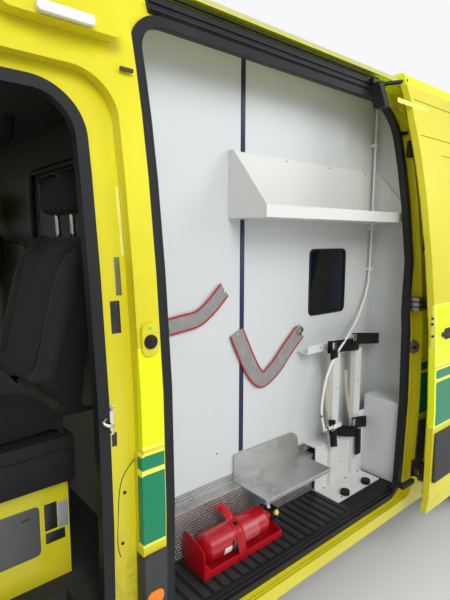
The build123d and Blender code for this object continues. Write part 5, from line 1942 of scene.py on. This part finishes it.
@dataclass(frozen=True)
class RearEnd:
    """Hinges, handle, blank plate, lamps and step tread at the rear."""

    tail_x: float = 3.0893

    def build(self, bench: Bench) -> None:
        """Model the pieces at the rear.

        Args:
            bench: The modelling bench.
        """
        for side, sign in SIDES:
            bench.work_on(f"rear_door_{side}")
            for number, z in enumerate((0.86, 1.45, 2.06)):
                x = self.tail_x - 0.0115 - 0.0215 * max(0.0, z - 0.9)
                y = sign * (0.838 - 0.044 * max(0.0, z - 1.2))
                bench.slab(
                    f"hinge_leaf_{side}_{number}", "seal", (x - 0.006, min(y, y - sign * 0.09), z - 0.03),
                    (x + 0.008, max(y, y - sign * 0.09), z + 0.03), 0.004,
                )
        bench.work_on("rear_door_right")
        bench.plate("rear_handle_cup", "bumper", rounded(
            rectangle((0.05, 1.125), (0.235, 1.235)), 0.024,
        ), Axis.X, 3.07, 3.0838, 0.001)
        bench.slab("rear_handle_grip", "bumper", (3.0825, 0.07, 1.15), (3.089, 0.215, 1.178), 0.003)
        bench.work_on("rear_door_left")
        bench.plate("blank_plate_rear", "blank_plate", rounded(
            rectangle((-0.62, 0.965), (-0.1, 1.075)), 0.01,
        ), Axis.X, 3.08, 3.089, 0.001)
        bench.slab("plate_lamp", "bumper", (3.076, -0.47, 1.088), (3.0885, -0.25, 1.112), 0.004)
        bench.work_on()
        tread = bench.slab("step_tread", "bumper", (2.968, -0.74, 0.6495), (2.978, 0.74, 0.6525), 0.001)
        bench.repeat(tread, [(0.02 * number, 0, 0) for number in range(1, 6)])
        reflector = bench.plate("bumper_reflector", "red_lamp", rounded(
            rectangle((-0.7, 0.47), (-0.6, 0.505)), 0.01,
        ), Axis.X, 3.08, 3.0893, 0.001)
        bench.copy(reflector, "bumper_reflector_right", MIRROR)


@dataclass(frozen=True)
class Cab:
    """Cab interior that shows through the open doorway: seats, ceiling, window frame and labels."""

    seat_y: tuple[tuple[str, float], ...] = (("driver", -0.52), ("passenger", 0.47))
    half_width: float = 0.232
    voxel: float = 0.012
    swell: float = 0.014
    pressure: float = 4.0
    frames: int = 20
    fill: float = 0.7

    def pad(self, bench: Bench, name: str, finish: str, outline: list[Flat], y: float, half: float
            ) -> Piece:
        """Stuffed cushion blown up inside its cover by cloth simulation.

        Args:
            bench: The modelling bench.
            name: Name of the piece.
            finish: Its finish.
            outline: Side view as x and z, a little smaller than the real cushion.
            y: Its middle.
            half: Half its width.

        Returns:
            The cushion.
        """
        piece = bench.plate(name, finish, outline, Axis.Y, y + half - 0.006, y - half + 0.006, 0.016)
        bench.modify(piece, "REMESH", mode="VOXEL", voxel_size=self.voxel)
        rest = [vertex.co.copy() for vertex in piece.data.vertices]
        bench.take(piece)
        cloth = piece.modifiers.new("cloth", "CLOTH")
        cloth.settings.use_pressure, cloth.settings.uniform_pressure_force = True, self.pressure
        cloth.settings.effector_weights.gravity = 0.0
        scene = bpy.context.scene
        for frame in range(1, self.frames + 1):
            scene.frame_set(frame)
        bpy.ops.object.modifier_apply(modifier=cloth.name)
        scene.frame_set(1)
        for vertex, start in zip(piece.data.vertices, rest):
            moved = vertex.co - start
            if moved.length > self.swell:
                vertex.co = start + moved.normalized() * self.swell
        bench.modify(piece, "SUBSURF", levels=1, render_levels=1)
        bench.take(piece)
        bpy.ops.object.shade_smooth()
        return piece

    def seat(self, bench: Bench, name: str, y: float) -> None:
        """One seat with its skirt, cushion, back, headrest and posts.

        Args:
            bench: The modelling bench.
            name: Whose seat it is.
            y: Its middle.
        """
        half = self.half_width
        cushion = self.pad(bench, f"{name}_cushion", "cloth", rounded(
            [(-1.258, 1.112), (-1.262, 1.212), (-1.19, 1.24), (-0.87, 1.22), (-0.8, 1.16), (-0.8, 1.112)],
            0.028), y, half)
        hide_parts(f"seat_{name}")
        self.pad(bench, f"{name}_backrest", "cloth", rounded(
            [(-0.872, 1.252), (-0.842, 1.262), (-0.742, 1.635), (-0.702, 1.69), (-0.656, 1.68), (-0.664, 1.56),
             (-0.742, 1.15), (-0.778, 1.15)], 0.022), y, half)
        for hand, side in SIDES:
            self.pad(bench, f"{name}_bolster_{hand}", "cloth_plain", rounded(
                [(-0.892, 1.262), (-0.856, 1.29), (-0.786, 1.56), (-0.742, 1.64), (-0.722, 1.62), (-0.742, 1.5),
                 (-0.82, 1.25)], 0.016), y + side * (half - 0.045), 0.04)
            bench.tube(f"{name}_piping_{hand}", "cloth_plain", [
                (-0.855, y + side * (half - 0.086), 1.29), (-0.8, y + side * (half - 0.086), 1.47),
                (-0.752, y + side * (half - 0.088), 1.61), (-0.715, y + side * (half - 0.098), 1.682),
            ], 0.0035)
            bench.rod(
                f"{name}_post_{hand}", "chrome", (-0.68, y + side * 0.062, 1.66), (-0.684, y + side * 0.062, 1.775),
                0.0085,
            )
        self.pad(bench, f"{name}_headrest", "cloth_plain", rounded(
            [(-0.726, 1.744), (-0.72, 1.866), (-0.662, 1.884), (-0.643, 1.744)], 0.034), y, 0.126)
        bench.slab(f"{name}_valance", "cab_plastic", (-1.238, y - 0.238, 0.955), (-0.772, y + 0.238, 1.1), 0.014)
        for hand, side in SIDES:
            bench.slab(
                f"{name}_side_cover_{hand}", "cab_plastic", (-1.235, y + side * 0.2395 - 0.0045, 0.965),
                (-0.79, y + side * 0.2395 + 0.0045, 1.06), 0.004,
            )

    def build(self, bench: Bench) -> None:
        """Model what shows in the cab.

        Args:
            bench: The modelling bench.
        """
        bench.work_on()
        for name, y in self.seat_y:
            self.seat(bench, name, y)
        edge = [(-0.6005, 0.8), (-1.35, 0.8), (-1.44, 0.55), (-1.495, 0.3)]
        bench.plate(
            "cab_ceiling", "headliner", edge + [(x, -y) for x, y in reversed(edge)], Axis.Z, 2.078, 2.092, 0.003,
        )
        frame = rounded(rectangle((-0.49, 1.655), (0.02, 1.935)), 0.04)
        bench.tube("bulkhead_window_frame", "seal", [(-0.6015, y, z) for y, z in frame], 0.0125, True)
        bench.tube("bulkhead_window_rim", "seal", [(-0.5845, y, z) for y, z in frame], 0.009, True)
        face = -0.7302
        bench.plate("seat_box_panel", "label_slate", rounded(
            rectangle((-1.17, 0.745), (-0.878, 0.899)), 0.016,
        ), Axis.Y, face, face - 0.0012)
        for name, finish, low, high in (
            ("dark", "label_dark", (-0.864, 0.812), (-0.827, 0.895)),
            ("pale", "label_grey", (-0.824, 0.808), (-0.793, 0.889)),
            ("small", "label_dark", (-0.863, 0.771), (-0.805, 0.804)),
        ):
            bench.plate(f"box_label_{name}", finish, rectangle(low, high), Axis.Y, face, face - 0.0009, 0.0002)
        bench.slab("seat_box_slot", "groove", (-0.93, -0.7325, 0.866), (-0.904, -0.731, 0.872), 0.0005)
        bench.tube("grab_handle", "cab_plastic", [
            (-0.95, -0.1, 2.08), (-0.95, -0.1, 2.01), (-0.93, -0.14, 1.985), (-0.8, -0.3, 1.985),
            (-0.78, -0.33, 2.01), (-0.78, -0.33, 2.08),
        ], 0.014)
        bench.slab("ceiling_console", "cab_plastic", (-1.16, -0.16, 1.962), (-0.98, 0.2, 2.08), 0.024)
        for name, y in self.seat_y:
            outer = -0.8 if y < 0 else 0.79
            step = 0.5 * (y - outer)
            bench.ribbon(f"{name}_belt", "black_webbing", [
                (-0.64, outer, 1.72), (-0.668, outer + 0.25 * step, 1.64), (-0.7, outer + 0.6 * step, 1.5),
                (-0.752, outer + step, 1.33), (-0.8, outer + 1.1 * step, 1.255),
            ], (1, 0.35 if y < 0 else -0.35, 0), 0.046, 0.0016)
            bench.slab(
                f"{name}_belt_guide", "cab_plastic", (-0.665, outer - 0.02, 1.7), (-0.615, outer + 0.02, 1.76),
                0.008,
            )
        bench.tube("gear_lever", "cab_plastic", [
            (-1.575, -0.02, 1.17), (-1.545, -0.02, 1.215), (-1.53, -0.02, 1.255),
        ], 0.009)
        bench.lathe("gear_knob", "black_gloss", [
            (0.0, 0.045), (0.016, 0.042), (0.025, 0.026), (0.024, 0.01), (0.014, 0.0), (0.0, -0.002),
        ], (-1.532, -0.02, 1.245), (0.3, 0, 1), 24)


@dataclass(frozen=True)
class RoofLamps:
    """Dividing ribs of the roof light bar."""

    def build(self, bench: Bench) -> None:
        """Model the ribs.

        Args:
            bench: The modelling bench.
        """
        bench.work_on()
        rib = bench.slab("light_bar_rib", "bumper", (-0.7595, -0.215, 2.6), (-0.74, -0.2, 2.725), 0.003)
        bench.repeat(rib, [(0, 0.415, 0), (0, -0.205, 0), (0, 0.62, 0)])


# The photograph's camera, the floor and the lamps


@dataclass(frozen=True)
class Studio:
    """Camera, floor, backdrop and soft lamps."""

    camera_at: Point = (-1.291, -2.05, 1.673)
    yaw: float = 40.3
    pitch: float = -7.59
    roll: float = 0.15
    lens: float = 28.22
    sensor: float = 36.0
    floor_colour: Colour = (0.78, 0.78, 0.77)

    def camera(self) -> None:
        """Put the camera at the photograph's viewpoint."""
        data = bpy.data.cameras.new("camera")
        data.lens, data.sensor_width, data.sensor_fit = self.lens, self.sensor, "AUTO"
        data.clip_start, data.clip_end = 0.02, 200.0
        made = bpy.data.objects.new("camera", data)
        bpy.context.scene.collection.objects.link(made)
        yaw, pitch = math.radians(self.yaw), math.radians(self.pitch)
        forward = Vector((math.sin(yaw) * math.cos(pitch), math.cos(yaw) * math.cos(pitch), math.sin(pitch)))
        turn = forward.to_track_quat("-Z", "Y").to_matrix()
        turn = turn @ Matrix.Rotation(math.radians(self.roll), 3, "Z")
        made.matrix_world = Matrix.Translation(self.camera_at) @ turn.to_4x4()
        bpy.context.scene.camera = made

    def floor(self) -> None:
        """Lay a plain pale floor that reaches past every view."""
        bpy.ops.object.select_all(action="DESELECT")
        bpy.ops.mesh.primitive_plane_add(size=160.0, location=(0.0, 0.0, -0.0005))
        made = bpy.context.object
        made.name = "floor"
        graph = Graph("plain_floor")
        made.data.materials.append(graph.finish(Base_Color=self.floor_colour, Roughness=0.8))

    def world(self) -> None:
        """Even pale surroundings that also show in glass and metal."""
        world = bpy.data.worlds.new("surroundings")
        bpy.context.scene.world = world
        world.use_nodes = True
        nodes, links = world.node_tree.nodes, world.node_tree.links
        nodes.clear()
        path = nodes.new("ShaderNodeLightPath")
        seen = nodes.new("ShaderNodeMath")
        seen.operation = "MAXIMUM"
        links.new(path.outputs["Is Camera Ray"], seen.inputs[0])
        links.new(path.outputs["Is Transmission Ray"], seen.inputs[1])
        light, backdrop = nodes.new("ShaderNodeBackground"), nodes.new("ShaderNodeBackground")
        light.inputs[0].default_value, light.inputs[1].default_value = (0.93, 0.96, 1.0, 1.0), 0.62
        backdrop.inputs[0].default_value, backdrop.inputs[1].default_value = (0.93, 0.94, 0.95, 1.0), 1.0
        mix, out = nodes.new("ShaderNodeMixShader"), nodes.new("ShaderNodeOutputWorld")
        links.new(seen.outputs[0], mix.inputs[0])
        links.new(light.outputs[0], mix.inputs[1])
        links.new(backdrop.outputs[0], mix.inputs[2])
        links.new(mix.outputs[0], out.inputs[0])

    def lamps(self) -> None:
        """Hang soft lamps on the photographed side, above and behind."""
        rows = (
            ("key", (-2.5, -7.0, 6.0), (0.2, -0.8, 1.2), 5.0, 420.0),
            ("fill", (6.0, -6.0, 4.5), (1.0, 0.0, 1.2), 5.0, 150.0),
            ("far", (-5.0, 6.0, 6.0), (0.0, 0.0, 1.2), 6.0, 260.0),
        )
        for name, at, target, size, power in rows:
            data = bpy.data.lights.new(name, "AREA")
            data.shape, data.size, data.energy = "DISK", size, power
            made = bpy.data.objects.new(name, data)
            bpy.context.scene.collection.objects.link(made)
            aim = (Vector(target) - Vector(at)).to_track_quat("-Z", "Y")
            made.matrix_world = Matrix.Translation(at) @ aim.to_matrix().to_4x4()

    def build(self) -> None:
        """Set up the whole studio."""
        self.camera()
        self.floor()
        self.world()
        self.lamps()
        bpy.context.scene.view_settings.view_transform = "Standard"


def dress_nodes(frame: dict[str, Any], finishes: Finishes) -> None:
    """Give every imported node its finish.

    Args:
        finishes: The finishes by name.
    """
    for name, node in frame["nodes"].items():
        material = finishes["tyre" if name.startswith("tyre_") else NODE_FINISH[name]]
        node.data.materials.clear()
        node.data.materials.append(material)
        log.info("dressed %s", name)


def main() -> None:
    """Build the studio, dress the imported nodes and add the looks."""
    logging.basicConfig(level=logging.INFO, format="%(name)s: %(message)s")
    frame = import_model()
    finishes = Finishes()
    Studio().build()
    bench = Bench(finishes)
    for trim in (
        Locker(), Doorway(), Rack(), Extinguisher(), Pillar(), OpenDoor(), SideTrim(), Cab(), Wheels(), FrontEnd(),
        RearEnd(), RoofLamps(),
    ):
        log.info("building %s", type(trim).__name__)
        trim.build(bench)
    dress_nodes(frame, finishes)


if __name__ == "__main__":
    main()
